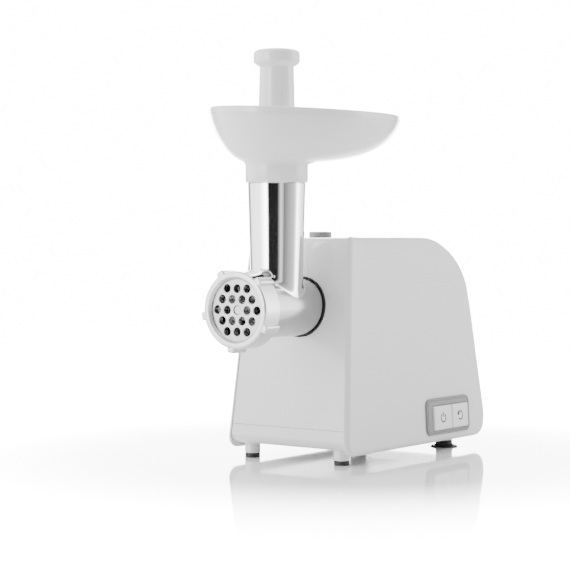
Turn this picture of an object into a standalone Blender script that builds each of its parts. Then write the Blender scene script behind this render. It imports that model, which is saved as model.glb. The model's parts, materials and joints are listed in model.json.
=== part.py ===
"""Electric meat grinder: metres, +Z up, barrel axis along Y, feeding mouth towards -Y.

The origin is under the middle of the object, on the surface that it stands on.
"""
from math import acos, atan, cos, hypot, pi, radians, sin, tan

import bmesh
import bpy
from mathutils import Euler, Matrix, Vector

MM = 0.001
GAP = 0.3 * MM                 # clearance between pieces that touch

# ---- driving dimensions -------------------------------------------------
AXIS_Z = 126.7 * MM            # height of the barrel's axis
HEAD_REACH = 87.0 * MM         # front of the fixing ring to the housing's front, on the axis
BODY_TOP = 184.0 * MM
BODY_BOTTOM = 12.0 * MM        # underside of the base cover
SIDE_BOTTOM = 8.0 * MM         # lower edge of the side covers
BODY_X = -6.3 * MM             # the housing's middle, beside the barrel's axis
BODY_HALF = 62.0 * MM          # half width of the housing, taken down to the floor
SIDE_DRAFT = 0.058             # each side leans in by this much per unit of height
FRONT_LEAN = 0.1076            # the front leans back by this much per unit of height
CROWN_START = 122.4 * MM       # port plane to where the top begins to fall
CROWN_DEPTH = 70.0 * MM
CROWN_DROP = 50.0 * MM
BACK_REACH = 17.5 * MM         # how far the back slopes out below the crown
BACK_FOOT_Z = 28.0 * MM
FRONT_CORNER = 11.0 * MM
BACK_CORNER = 20.0 * MM
EDGE_ROUND = 6.5 * MM
WALL = 2.5 * MM
COVER_T = 4.0 * MM             # thickness of a side cover
COVER_PROUD = 0.9 * MM         # the side covers stand this much outside the shell's outline
SEAM_Z = 28.5 * MM             # seam between the housing shell and the base cover

BARREL_R = 23.3 * MM
LINER_CLEAR = 0.4 * MM
LINER_BORE = BARREL_R + LINER_CLEAR
LINER_WALL = 1.0 * MM
LINER_PROUD = 1.4 * MM         # black rim of the port, outside the shell
PORT_R = LINER_BORE + LINER_WALL   # hole in the shell
BARREL_WALL = 2.0 * MM
BARREL_BORE = BARREL_R - BARREL_WALL
BARREL_BACK = 32.0 * MM        # port plane to the barrel's rear end
LUG_HEIGHT = 3.9 * MM
NECK_R = BARREL_R - LUG_HEIGHT     # behind the barrel, between it and the bayonet lugs
NECK_BACK = 24.2 * MM          # port plane to the neck
CATCH_R = NECK_R + 0.6 * MM        # lip in the port that holds the bayonet lugs
CATCH_T = 3.0 * MM
LUG_T = 4.0 * MM
HEAD_TURN = radians(45)        # the lugs pass the catch at this turn
MOUTH_DEPTH = 14.0 * MM
PLATE_R = 26.5 * MM
MOUTH_BORE = PLATE_R + GAP
MOUTH_R = MOUTH_BORE + 1.6 * MM
PLATE_T = 5.0 * MM
PLATE_HOLE_R = 3.35 * MM
PLATE_PITCH = 9.7 * MM
RING_DEPTH = 19.0 * MM
RING_WALL = 2.1 * MM
RING_R = MOUTH_R + GAP + RING_WALL
RING_HOLD = 2.2 * MM           # how far the ring's lip covers the plate
RING_OPENING = PLATE_R - RING_HOLD
RING_LIP = 3.2 * MM
RING_LUGS = 5
RING_LUG_HEIGHT = 3.1 * MM
RING_LUG_R = RING_R + RING_LUG_HEIGHT
RING_LUG_WIDTH = 7.6 * MM
RING_LUG_TURN = radians(45.6)
KNIFE_T = 7.0 * MM
KNIFE_REACH = 20.0 * MM
KNIFE_ARM = 4.2 * MM           # half width of an arm
NOSE_HALF = 4.0 * MM           # half width of the screw's square nose
PIN_R = 3.2 * MM               # the screw's front pin, in the plate's middle
FLIGHT_PITCH = 23.0 * MM
AUGER_SHAFT_R = 5.5 * MM
AUGER_CORE_FRONT_R = 8.5 * MM
AUGER_CORE_BACK_R = 11.0 * MM
FLIGHT_CLEAR = 0.7 * MM        # the flight's edge to the bore
REAR_BUSH_R = 13.0 * MM

TUBE_BACK = 55.2 * MM          # front of the fixing ring to the feed tube's axis
TUBE_LOW_R = BARREL_R - 3.0 * MM   # outside radius at the barrel's axis height
TUBE_TOP_R = 23.3 * MM
TUBE_WALL = 2.0 * MM
TUBE_TOP = 226.5 * MM
SPIGOT_R = TUBE_TOP_R - 0.7 * MM
SPIGOT_H = 13.0 * MM
COLLAR_H = 15.5 * MM
TRAY_HALF_WIDTH = 70.0 * MM
TRAY_HALF_LENGTH = 91.0 * MM
TRAY_SHIFT = 40.0 * MM         # tube axis to the middle of the tray's rim
TRAY_DEPTH = 43.0 * MM
TRAY_TILT = 0.045              # the rim falls to +X by this much per unit of width
TRAY_WALL = 2.0 * MM
COLLAR_R = SPIGOT_R + TRAY_WALL + 0.6 * MM

PUSHER_BOTTOM = 165.0 * MM
PUSHER_TOP = 332.7 * MM
PUSHER_CLEAR = 0.7 * MM
PUSHER_LOW_R = TUBE_LOW_R - TUBE_WALL - PUSHER_CLEAR
PUSHER_NECK_R = 13.7 * MM
KNOB_R = 18.5 * MM
KNOB_H = 12.9 * MM

FOOT_X = 45.2 * MM
FRONT_FOOT_BACK = 3.4 * MM     # port plane to the front feet
REAR_FOOT_BACK = 161.0 * MM
FOOT_POST_R = 6.4 * MM
FOOT_PAD_H = 3.4 * MM
CUP_R = 11.85 * MM
CUP_H = 5.4 * MM
CUP_POST_R = 7.2 * MM

BUTTON_BACK = 28.4 * MM        # port plane to the release button
BUTTON_R = 9.3 * MM
BUTTON_RISE = 3.9 * MM
RELEASE_TRAVEL = 3.0 * MM
BEZEL_BACK = 106.9 * MM        # port plane to the bezel's front edge
BEZEL_LENGTH = 69.5 * MM
BEZEL_LOW = 14.5 * MM
BEZEL_HEIGHT = 31.0 * MM
BEZEL_PROUD = 1.5 * MM
KEYS_BACK = 116.2 * MM
KEYS_LOW = 18.4 * MM
KEYS_HEIGHT = 20.8 * MM
ON_OFF_LENGTH = 29.2 * MM
REVERSE_LENGTH = 26.6 * MM
KEY_PROUD = 3.0 * MM
KEY_TRAVEL = 2.4 * MM
KEY_STEM = 4.0 * MM            # the key's stem, behind the side cover

PRESSURE = radians(25)
BACKLASH = 0.30 * MM
FAST_MODULE = 1.0 * MM
SLOW_MODULE = 1.25 * MM
PINION_TEETH = 12
WHEEL_TEETH = 54
SLOW_PINION_TEETH = 12
OUTPUT_TEETH = 48
GEAR_LEAN = 3.15 * MM          # each lower shaft stands this much further to -X
GEARBOX_BACK = 36.0 * MM       # port plane to the gearbox cover
SLOW_GEAR_W = 10.0 * MM
FAST_GEAR_W = 8.0 * MM
STATOR_LENGTH = 40.0 * MM
STATOR_SIZE = 75.0 * MM
ROTOR_R = 21.5 * MM
SHAFT_R = 3.0 * MM
HUB_R = 6.0 * MM
SOCKET_R = 9.0 * MM
SOCKET_JOURNAL_R = 5.0 * MM
WHEEL_JOURNAL_R = 3.0 * MM
BUSH_WALL = 3.0 * MM
GEARBOX_WALL = 3.0 * MM
GEARBOX_MARGIN = 5.5 * MM      # the output gear to the gearbox's outside
BEARING_R = 8.5 * MM
BEARING_T = 6.0 * MM
BRACKET_HALF = 31.0 * MM
BRACKET_LEG = 6.0 * MM
BRACKET_T = 5.0 * MM
WINDOW_LOW = 24.5 * MM         # motor axis to a coil's window in the stator
WINDOW_DEPTH = 8.0 * MM
WINDOW_HALF = 18.5 * MM
COIL_CLEAR = 0.7 * MM
COIL_OVERHANG = 8.0 * MM
COMMUTATOR_R = 11.0 * MM
FAN_R = 30.0 * MM
FAN_BLADES = 10
BRUSH_HALF = 3.0 * MM

GLAND_R = 6.0 * MM
GLAND_BORE = 3.6 * MM
GLAND_FLANGE_R = 8.5 * MM
GLAND_Z = 60.0 * MM
VENT_BACK = 96.0 * MM          # port plane to the first air slot
VENT_PITCH = 9.0 * MM
VENT_WIDTH = 3.5 * MM
SCREW_R = 1.5 * MM
SCREW_HEAD_R = 3.0 * MM
SCREW_INSET = 5.8 * MM
BOSS_R = 6.1 * MM
BOSS_STEM_R = 4.4 * MM
BOSS_TOP = 44.0 * MM
SCREW_BACKS = (18 * MM, 106 * MM)

STEPS = 32                     # sides of a large round piece
FEW = 16                       # sides of a small round piece

# ---- colours: base colour, roughness, metallic --------------------------
WHITE = ((0.80, 0.80, 0.79), 0.25, 0.0)
IVORY = ((0.74, 0.74, 0.72), 0.45, 0.0)
GREY = ((0.30, 0.30, 0.31), 0.4, 0.0)
BLACK = ((0.02, 0.02, 0.02), 0.6, 0.0)
ALUMINIUM = ((0.62, 0.62, 0.63), 0.22, 1.0)
STEEL = ((0.55, 0.55, 0.56), 0.3, 1.0)
COPPER = ((0.70, 0.30, 0.15), 0.35, 1.0)
NYLON = ((0.85, 0.83, 0.75), 0.5, 0.0)
BOARD = ((0.05, 0.25, 0.10), 0.5, 0.0)


# ---- the housing's outline ----------------------------------------------
def fillet(corner, before, after, radius, steps=4):
    """Points of the arc that rounds a corner between two straight runs."""
    corner, before, after = Vector(corner), Vector(before), Vector(after)
    u, v = (before - corner).normalized(), (after - corner).normalized()
    half = u.angle(v) / 2
    centre = corner + (u + v).normalized() * radius / sin(half)
    start = corner + u * radius / tan(half) - centre
    sweep = -start.angle_signed(corner + v * radius / tan(half) - centre)
    return [tuple(centre + Matrix.Rotation(sweep * i / steps, 2) @ start) for i in range(steps + 1)]


def front_y(z):
    """The housing's front face, measured from the port plane."""
    return (z - AXIS_Z) * FRONT_LEAN


def body_outline(inset, bottom):
    """Side view of the housing as (y, z), y from the port plane, drawn inset from the skin."""
    top = BODY_TOP - inset
    crown_z = BODY_TOP - CROWN_DROP
    crown_end = CROWN_START + CROWN_DEPTH - inset
    back_slope = BACK_REACH / (crown_z - BACK_FOOT_Z)
    low_front = (front_y(bottom) + inset, bottom)
    high_front = (front_y(top) + inset, top)
    back_foot = (crown_end + (crown_z - bottom) * back_slope, bottom)
    steps = 8
    crown = [(CROWN_START + (CROWN_DEPTH - inset) * sin(i * pi / 2 / steps),
              crown_z + (CROWN_DROP - inset) * cos(i * pi / 2 / steps)) for i in range(steps + 1)]
    front_round = max(FRONT_CORNER - inset, 1 * MM)
    back_round = max(BACK_CORNER - inset, 1 * MM)
    top_round = max(EDGE_ROUND - inset, 1 * MM)
    return (fillet(low_front, back_foot, high_front, front_round)
            + fillet(high_front, low_front, crown[0], top_round)
            + crown
            + fillet(back_foot, crown[-1], low_front, back_round, 6))


BODY_BACK = max(y for y, _ in body_outline(0, SIDE_BOTTOM))
PORT_Y = (HEAD_REACH - BODY_BACK) / 2      # the housing's front face on the barrel's axis
RING_Y = PORT_Y - HEAD_REACH               # front of the fixing ring
TUBE_Y = RING_Y + TUBE_BACK
PLATE_Y = RING_Y + RING_LIP + GAP          # front face of the cutting plate
MOUTH_Y = PLATE_Y + 0.9 * MM               # front end of the barrel
KNIFE_Y = PLATE_Y + PLATE_T + GAP
FLIGHT_Y = KNIFE_Y + KNIFE_T + 0.7 * MM
GEARBOX_Y = PORT_Y + GEARBOX_BACK
SLOW_Y = GEARBOX_Y + 6 * MM
FAST_Y = SLOW_Y + SLOW_GEAR_W + 3 * MM
GEARBOX_END = FAST_Y + FAST_GEAR_W + 5 * MM
STATOR_Y = GEARBOX_END + 29 * MM
BARREL_END = PORT_Y + BARREL_BACK
GLAND_Y = (PORT_Y + CROWN_START + CROWN_DEPTH - COVER_PROUD
           + (BODY_TOP - CROWN_DROP - GLAND_Z) * BACK_REACH / (BODY_TOP - CROWN_DROP - BACK_FOOT_Z))


def lower_axis(upper, distance):
    return (upper[0] - GEAR_LEAN, upper[1] - (distance ** 2 - GEAR_LEAN ** 2) ** 0.5)


OUTPUT_AXIS = (0.0, AXIS_Z)
WHEEL_AXIS = lower_axis(OUTPUT_AXIS, (OUTPUT_TEETH + SLOW_PINION_TEETH) * SLOW_MODULE / 2)
MOTOR_AXIS = lower_axis(WHEEL_AXIS, (WHEEL_TEETH + PINION_TEETH) * FAST_MODULE / 2)


def half_width(z):
    return BODY_HALF - SIDE_DRAFT * z


# ---- modelling helpers ----------------------------------------------------
def clear_scene():
    for obj in list(bpy.data.objects):
        bpy.data.objects.remove(obj, do_unlink=True)


def collection(name):
    made = bpy.data.collections.new(name)
    bpy.context.scene.collection.children.link(made)
    return made


def material(name, look):
    colour, roughness, metallic = look
    made = bpy.data.materials.new(name)
    made.use_nodes = True
    shader = made.node_tree.nodes["Principled BSDF"]
    shader.inputs["Base Color"].default_value = (*colour, 1)
    shader.inputs["Roughness"].default_value = roughness
    shader.inputs["Metallic"].default_value = metallic
    return made


def add(name, mesh, look=None, at=(0, 0, 0)):
    """A part when it has a look, or a cutter."""
    obj = bpy.data.objects.new(name, mesh)
    obj.location = at
    if look is None:
        CUTTERS.objects.link(obj)
        obj.hide_render = True
        obj.display_type = "WIRE"
    else:
        PARTS.objects.link(obj)
        mesh.materials.append(material(name, look))
    return obj


def from_bmesh(name, bm, look=None, at=(0, 0, 0), smooth=True):
    bmesh.ops.recalc_face_normals(bm, faces=bm.faces)
    if bm.calc_volume(signed=True) < 0:
        bmesh.ops.reverse_faces(bm, faces=bm.faces)
    mesh = bpy.data.meshes.new(name)
    bm.to_mesh(mesh)
    bm.free()
    if smooth:
        mesh.shade_smooth()
        mesh.set_sharp_from_angle(angle=radians(35))
    return add(name, mesh, look, at)


def box(name, low, high, look=None):
    bm = bmesh.new()
    bmesh.ops.create_cube(bm, size=1)
    low, high = Vector(low), Vector(high)
    size = Matrix.Diagonal((*(high - low), 1))
    bm.transform(Matrix.Translation((low + high) / 2) @ size)
    return from_bmesh(name, bm, look, smooth=False)


def rod(name, radius, start, end, look=None, top_radius=None, sides=FEW):
    """A cylinder or cone from one point to another."""
    start, end = Vector(start), Vector(end)
    along = end - start
    bm = bmesh.new()
    bmesh.ops.create_cone(bm, cap_ends=True, segments=sides, radius1=radius,
                          radius2=radius if top_radius is None else top_radius, depth=along.length)
    bm.transform(Matrix.Translation((start + end) / 2) @ along.to_track_quat("Z", "Y").to_matrix().to_4x4())
    return from_bmesh(name, bm, look)


def lathe(name, profile, centre, axis, look=None, sides=STEPS, closed=False):
    """A turned shape. The profile is (radius, distance along the axis), and closed for a ring."""
    ends = profile + [profile[0]]
    area = sum(a[0] * b[1] - b[0] * a[1] for a, b in zip(ends, ends[1:]))
    points = profile[::-1] if area > 0 else profile
    mesh = bpy.data.meshes.new(name)
    edges = [(i, i + 1) for i in range(len(points) - 1)]
    if closed:
        edges.append((len(points) - 1, 0))
    mesh.from_pydata([(r, 0, h) for r, h in points], edges, [])
    obj = add(name, mesh, look, centre)
    if axis == "Y":
        obj.rotation_euler = Euler((-pi / 2, 0, 0))
    screw = obj.modifiers.new("Turn", "SCREW")
    screw.steps = screw.render_steps = sides
    screw.use_merge_vertices = True
    screw.merge_threshold = 0.00002
    screw.use_smooth_shade = True
    return obj


def loft(name, rings, look=None, caps=True, smooth=True):
    """Skin over a run of rings that have the same number of points."""
    bm = bmesh.new()
    rows = [[bm.verts.new(point) for point in ring] for ring in rings]
    count = len(rows[0])
    for low, high in zip(rows, rows[1:]):
        for i in range(count):
            j = (i + 1) % count
            bm.faces.new((low[i], low[j], high[j], high[i]))
    if caps:
        bm.faces.new(rows[0])
        bm.faces.new(rows[-1])
    return from_bmesh(name, bm, look, smooth=smooth)


def boolean(obj, tool, operation):
    step = obj.modifiers.new(tool.name, "BOOLEAN")
    step.operation = operation
    step.object = tool
    return obj


def cut(obj, *tools):
    for tool in tools:
        boolean(obj, tool, "DIFFERENCE")
    return obj


def join(obj, *tools):
    for tool in tools:
        boolean(obj, tool, "UNION")
    return obj


def keep(obj, tool):
    return boolean(obj, tool, "INTERSECT")


def bevel(obj, width, segments=1, angle=40):
    step = obj.modifiers.new("Round", "BEVEL")
    step.width = width
    step.segments = segments
    step.limit_method = "ANGLE"
    step.angle_limit = radians(angle)
    return obj


def rest_on(obj, origin):
    """Moves an object's origin, which lies on its joint's axis, and leaves its shape in place."""
    shift = Vector(origin) - obj.location
    obj.data.transform(Matrix.Translation(-(obj.rotation_euler.to_matrix().inverted() @ shift)))
    obj.location = origin
    return obj


def rounded_box_outline(low, size, radius, steps=3):
    """Outline (y, z) of a box with round corners."""
    y0, z0 = low
    y1, z1 = y0 + size[0], z0 + size[1]
    corners = [(y1, z0), (y1, z1), (y0, z1), (y0, z0)]
    points = []
    for i, corner in enumerate(corners):
        points += fillet(corner, corners[i - 1], corners[(i + 1) % 4], radius, steps)
    return points


def body_form(name, trim, inset, bottom, look=None):
    """The housing's form, narrower by trim on each side and with its outline inset."""
    outline = body_outline(inset, bottom)
    rings = [[(BODY_X + side * (half_width(z) - trim), PORT_Y + y, z) for y, z in outline]
             for side in (-1, 1)]
    return loft(name, rings, look)


def skin_form(name, bottom):
    """A part that starts as the whole rounded outside of the housing."""
    return bevel(body_form(name, 0, 0, bottom, WHITE), EDGE_ROUND, 3)


def side_slab(name, outline, low, high, look=None):
    """A slab on the right side, from low to high above the side's leaning surface."""
    rings = [[(BODY_X + half_width(z) + height, PORT_Y + y, z) for y, z in outline]
             for height in (low, high)]
    return loft(name, rings, look)


# ---- housing ----------------------------------------------------------------
def housing():
    far = 0.4
    block = body_form("core_block", COVER_T, COVER_PROUD, -0.02)
    cavity = body_form("cavity", COVER_T + WALL, COVER_PROUD + WALL, BODY_BOTTOM + WALL)
    below_seam = box("below_seam", (-far, -far, -far), (far, far, SEAM_Z + GAP / 2))
    above_seam = box("above_seam", (-far, -far, SEAM_Z - GAP / 2), (far, far, far))

    shell = cut(keep(skin_form("housing_shell", BODY_BOTTOM), block), cavity, below_seam)
    base = cut(keep(skin_form("base_cover", BODY_BOTTOM), block), cavity, above_seam)
    port = rod("port_cut", PORT_R, (0, PORT_Y - 0.05, AXIS_Z), (0, PORT_Y + 0.03, AXIS_Z), sides=STEPS)
    button_y = PORT_Y + BUTTON_BACK
    button_hole = rod("button_cut", BUTTON_R + GAP, (0, button_y, BODY_TOP - 0.01),
                      (0, button_y, BODY_TOP + 0.01), sides=24)
    gland_hole = rod("gland_cut", GLAND_R + GAP, (BODY_X, GLAND_Y - 0.03, GLAND_Z),
                     (BODY_X, GLAND_Y + 0.03, GLAND_Z))
    cut(shell, port, button_hole, gland_hole)
    keys_room = rounded_box_outline(
        (KEYS_BACK - 2 * MM, KEYS_LOW - 2 * MM),
        (ON_OFF_LENGTH + REVERSE_LENGTH + 4 * MM, KEYS_HEIGHT + 4 * MM), 2 * MM, 1)
    behind_keys = side_slab("keys_room", keys_room, -COVER_T - 3 * WALL, 0)
    cut(shell, behind_keys)
    cut(base, behind_keys)
    screw_bosses(shell, base)
    foot_posts(base)
    for i in range(5):
        y = PORT_Y + VENT_BACK + i * VENT_PITCH
        cut(base, box(f"vent_{i}", (BODY_X - 0.02, y, 0), (BODY_X + 0.02, y + VENT_WIDTH, 0.02)))

    wide = body_form("core_block_wide", COVER_T - GAP, -6 * MM, -0.02)
    for side, name in ((-1, "left_side_cover"), (1, "right_side_cover")):
        cover = cut(skin_form(name, SIDE_BOTTOM), wide)
        edges = sorted((BODY_X, -side * far))
        cut(cover, box(name + "_other_half", (edges[0], -far, -far), (edges[1], far, far)))
        if side > 0:
            hole = rounded_box_outline((BEZEL_BACK - GAP, BEZEL_LOW - GAP),
                                       (BEZEL_LENGTH + 2 * GAP, BEZEL_HEIGHT + 2 * GAP), 6 * MM)
            cut(cover, side_slab("bezel_cut", hole, -COVER_T * 2, COVER_T))


def screw_places():
    return [(BODY_X + side * (half_width(BODY_BOTTOM) - COVER_T - WALL - SCREW_INSET), PORT_Y + back)
            for side in (-1, 1) for back in SCREW_BACKS]


def screw_bosses(shell, base):
    """Bosses inside the shell, and the holes in the base cover under them."""
    floor = BODY_BOTTOM + WALL
    top = BOSS_TOP
    for i, (x, y) in enumerate(screw_places()):
        stem = rod(f"boss_stem_{i}", BOSS_STEM_R, (x, y, floor + GAP), (x, y, SEAM_Z + 2 * MM))
        root = rod(f"boss_root_{i}", BOSS_R, (x, y, SEAM_Z + GAP / 2), (x, y, top))
        pilot = rod(f"boss_pilot_{i}", SCREW_R + GAP, (x, y, 0), (x, y, top - 4 * MM), sides=12)
        head = rod(f"boss_head_{i}", SCREW_HEAD_R + GAP, (x, y, 0), (x, y, BODY_BOTTOM + 1.3 * MM), sides=12)
        join(shell, root, stem)
        cut(shell, pilot)
        cut(base, pilot, head)
        screw = lathe(f"base_screw_{i + 1}", [
            (0, 0.2 * MM), (SCREW_HEAD_R, 0.2 * MM), (SCREW_HEAD_R, 1.0 * MM), (SCREW_R, 1.0 * MM),
            (SCREW_R, 22 * MM), (0, 23 * MM)], (x, y, BODY_BOTTOM), "Z", STEEL, 10)
        screw.data.name = screw.name


def foot_posts(base):
    """White posts under the base, a rubber pad under each front one, a suction cup under each rear one."""
    for side, name in ((-1, "left"), (1, "right")):
        x = BODY_X + side * FOOT_X
        y = PORT_Y + FRONT_FOOT_BACK
        join(base, rod(f"post_front_{name}", FOOT_POST_R, (x, y, FOOT_PAD_H + GAP),
                       (x, y, BODY_BOTTOM + 1 * MM), sides=20))
        pad_r = FOOT_POST_R - 0.2 * MM
        lathe(f"front_foot_pad_{name}", [(0, 0), (pad_r - 0.4 * MM, 0), (pad_r, 0.5 * MM),
                                         (pad_r, FOOT_PAD_H), (0, FOOT_PAD_H)], (x, y, 0), "Z", BLACK, 20)
        y = PORT_Y + REAR_FOOT_BACK
        join(base, rod(f"post_rear_{name}", CUP_POST_R, (x, y, CUP_H + GAP),
                       (x, y, BODY_BOTTOM + 1 * MM), sides=20))
        lathe(f"suction_foot_{name}", [
            (0, 0.6 * MM), (CUP_R - 4 * MM, 0.6 * MM), (CUP_R - 2.5 * MM, 0), (CUP_R, 0), (CUP_R, 1.0 * MM),
            (CUP_POST_R + 1.2 * MM, 2.2 * MM), (CUP_POST_R, CUP_H), (0, CUP_H)], (x, y, 0), "Z", BLACK, 24)


def port_liner():
    """The black sleeve that the barrel turns in. A lip at its rear catches the barrel's lugs."""
    catch_back = NECK_BACK + 0.4 * MM + CATCH_T
    outside = PORT_R - GAP
    liner = lathe("port_liner", [
        (outside, -20 * MM), (outside, catch_back), (CATCH_R, catch_back), (CATCH_R, catch_back - CATCH_T),
        (LINER_BORE, catch_back - CATCH_T), (LINER_BORE, -20 * MM)],
        (0, PORT_Y, AXIS_Z), "Y", BLACK, closed=True)
    keep(liner, body_form("liner_trim", 0, COVER_PROUD - LINER_PROUD, BODY_BOTTOM))
    for side in (-1, 1):
        way = box(f"lug_way_{side}", (CATCH_R - 5 * MM, -6 * MM, -6 * MM), (LINER_BORE, 6 * MM, 6 * MM))
        way.rotation_euler = Euler((0, HEAD_TURN + (pi if side < 0 else 0), 0))
        way.location = (0, PORT_Y + catch_back, AXIS_Z)
        cut(liner, way)


def release_latch():
    """The grey button on the top, its latch pin and the spring that lifts it."""
    x, y = 0, PORT_Y + BUTTON_BACK
    skirt = BODY_TOP - WALL - 3.5 * MM
    lathe("release_button", [
        (0, BODY_TOP + BUTTON_RISE), (BUTTON_R - 1 * MM, BODY_TOP + BUTTON_RISE),
        (BUTTON_R, BODY_TOP + BUTTON_RISE - 1 * MM), (BUTTON_R, skirt), (BUTTON_R - 2 * MM, skirt),
        (BUTTON_R - 2 * MM, BODY_TOP), (2.6 * MM, BODY_TOP), (2.6 * MM, BODY_TOP - 4 * MM),
        (0, BODY_TOP - 4 * MM)], (x, y, 0), "Z", GREY, 24)
    pin_top = BODY_TOP - 4 * MM - GAP
    pin_end = AXIS_Z + PORT_R + RELEASE_TRAVEL + 0.6 * MM
    lathe("latch_pin", [(0, pin_top), (2.4 * MM, pin_top), (2.4 * MM, pin_end + 1 * MM),
                        (1.4 * MM, pin_end), (0, pin_end)], (x, y, 0), "Z", STEEL, 12)
    coil("release_spring", (x, y), pin_top - 17 * MM, pin_top - RELEASE_TRAVEL - 1.5 * MM, 4.2 * MM, 0.5 * MM, 4)
    seat_top = pin_top - 17.6 * MM
    seat = lathe("latch_guide", [(2.8 * MM, seat_top), (6.5 * MM, seat_top), (6.5 * MM, seat_top - 3 * MM),
                                 (2.8 * MM, seat_top - 3 * MM)], (x, y, 0), "Z", IVORY, 16, closed=True)
    reach = BODY_X + half_width(seat_top) - COVER_T - WALL - 2 * GAP
    left = BODY_X - (half_width(seat_top) - COVER_T - WALL - 2 * GAP)
    bar = box("latch_guide_bar", (left, y - 3 * MM, seat_top - 3 * MM), (reach, y + 3 * MM, seat_top))
    cut(bar, rod("latch_guide_bore", 4 * MM, (x, y, seat_top - 0.01), (x, y, seat_top + 0.01)))
    join(seat, bar)


def coil(name, centre, low, high, radius, wire, turns):
    """A round-wire spring, made as a loft along its helix."""
    steps, sides = 12 * turns, 6
    rings = []
    for i in range(steps + 1):
        turn = 2 * pi * turns * i / steps
        out = Vector((cos(turn), sin(turn), 0))
        middle = Vector((*centre, low + (high - low) * i / steps)) + out * radius
        rings.append([middle + (out * cos(2 * pi * k / sides) + Vector((0, 0, sin(2 * pi * k / sides)))) * wire
                      for k in range(sides)])
    return loft(name, rings, STEEL)


def controls():
    """The bezel on the right side, its two keys, and the switches behind them."""
    outline = rounded_box_outline((BEZEL_BACK, BEZEL_LOW), (BEZEL_LENGTH, BEZEL_HEIGHT), 6 * MM)
    bezel = side_slab("control_bezel", outline, -COVER_T, BEZEL_PROUD, GREY)
    keys_length = ON_OFF_LENGTH + REVERSE_LENGTH + 2 * GAP
    hole = rounded_box_outline((KEYS_BACK - GAP, KEYS_LOW - GAP),
                               (keys_length + GAP, KEYS_HEIGHT + 2 * GAP), 1.2 * MM, 2)
    cut(bezel, side_slab("keys_cut", hole, -COVER_T * 2, COVER_T))
    bevel(bezel, 0.5 * MM)
    key(("on_off_button", "power_switch"), KEYS_BACK, ON_OFF_LENGTH - GAP)
    key(("reverse_button", "reverse_switch"), KEYS_BACK + ON_OFF_LENGTH + GAP, REVERSE_LENGTH)


def key(names, back, length):
    outline = rounded_box_outline((back, KEYS_LOW), (length, KEYS_HEIGHT), 1.2 * MM, 2)
    face = side_slab(names[0], outline, -COVER_T - 1 * MM, KEY_PROUD, WHITE)
    mid_y, mid_z = back + length / 2, KEYS_LOW + KEYS_HEIGHT / 2
    stem = rounded_box_outline((mid_y - 4 * MM, mid_z - 3 * MM), (8 * MM, 6 * MM), 0.5 * MM, 1)
    join(face, side_slab(names[0] + "_stem", stem, -COVER_T - KEY_STEM, 0))
    outside = BODY_X + half_width(mid_z)
    rest_on(face, (outside, PORT_Y + mid_y, mid_z))
    deep = outside - COVER_T - KEY_STEM - KEY_TRAVEL - 1 * MM
    box(names[1], (deep - 10 * MM, PORT_Y + mid_y - 10 * MM, mid_z - 6 * MM),
        (deep, PORT_Y + mid_y + 10 * MM, mid_z + 6 * MM), IVORY)


def rear_fittings():
    """The cord's inlet gland, and the circuit board behind the switches."""
    lathe("cord_gland", [
        (GLAND_BORE, -8 * MM), (GLAND_R, -8 * MM), (GLAND_R, 1.8 * MM), (GLAND_FLANGE_R, 1.8 * MM),
        (GLAND_FLANGE_R, 4.3 * MM), (GLAND_BORE, 4.3 * MM)],
        (BODY_X, GLAND_Y, GLAND_Z), "Y", BLACK, 20, closed=True)
    x = MOTOR_AXIS[0] + STATOR_SIZE / 2 + 1 * MM
    box("circuit_board", (x, PORT_Y + 150 * MM, 52 * MM), (x + 1.6 * MM, PORT_Y + 188 * MM, 92 * MM), BOARD)


# ---- gear train ---------------------------------------------------------------
def involute(base_r, radius):
    """How far the flank has turned at a radius."""
    pressure = acos(base_r / radius)
    return tan(pressure) - pressure


def gear_outline(teeth, module, phase):
    """A spur gear's outline about the origin, a tooth centred on the angle phase."""
    pitch_r = teeth * module / 2
    base_r = pitch_r * cos(PRESSURE)
    tip_r = pitch_r + 0.82 * module
    root_r = pitch_r - 1.0 * module
    half_pitch = pi / (2 * teeth) - BACKLASH / 2 / pitch_r + involute(base_r, pitch_r)
    radii = [root_r] + [max(base_r, root_r) + (tip_r - max(base_r, root_r)) * i / 2 for i in range(3)]
    if root_r >= base_r:
        radii = radii[1:]
    points = []
    for tooth in range(teeth):
        middle = phase + 2 * pi * tooth / teeth
        for side, run in ((-1, radii), (1, radii[::-1])):
            for radius in run:
                angle = middle + side * (half_pitch - involute(base_r, max(radius, base_r)))
                points.append((radius * cos(angle), radius * sin(angle)))
    return points


def gear(name, axis, start, width, teeth, module, phase, look):
    """A gear on an axis (x, z) that is parallel to Y, its front face at start."""
    outline = gear_outline(teeth, module, phase)
    rings = [[(x, y, z) for x, z in outline] for y in (0, width)]
    obj = loft(name, rings, look, smooth=False)
    obj.location = (axis[0], start, axis[1])
    return obj


def mesh_angle(axis, other):
    """The direction in the x, z plane from one axis to another."""
    return Vector((other[0] - axis[0], other[1] - axis[1])).angle_signed(Vector((1, 0)))


def bored(obj, axis, radius, start, end):
    return cut(obj, rod(obj.name + "_bore", radius, (axis[0], start, axis[1]), (axis[0], end, axis[1])))


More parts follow.
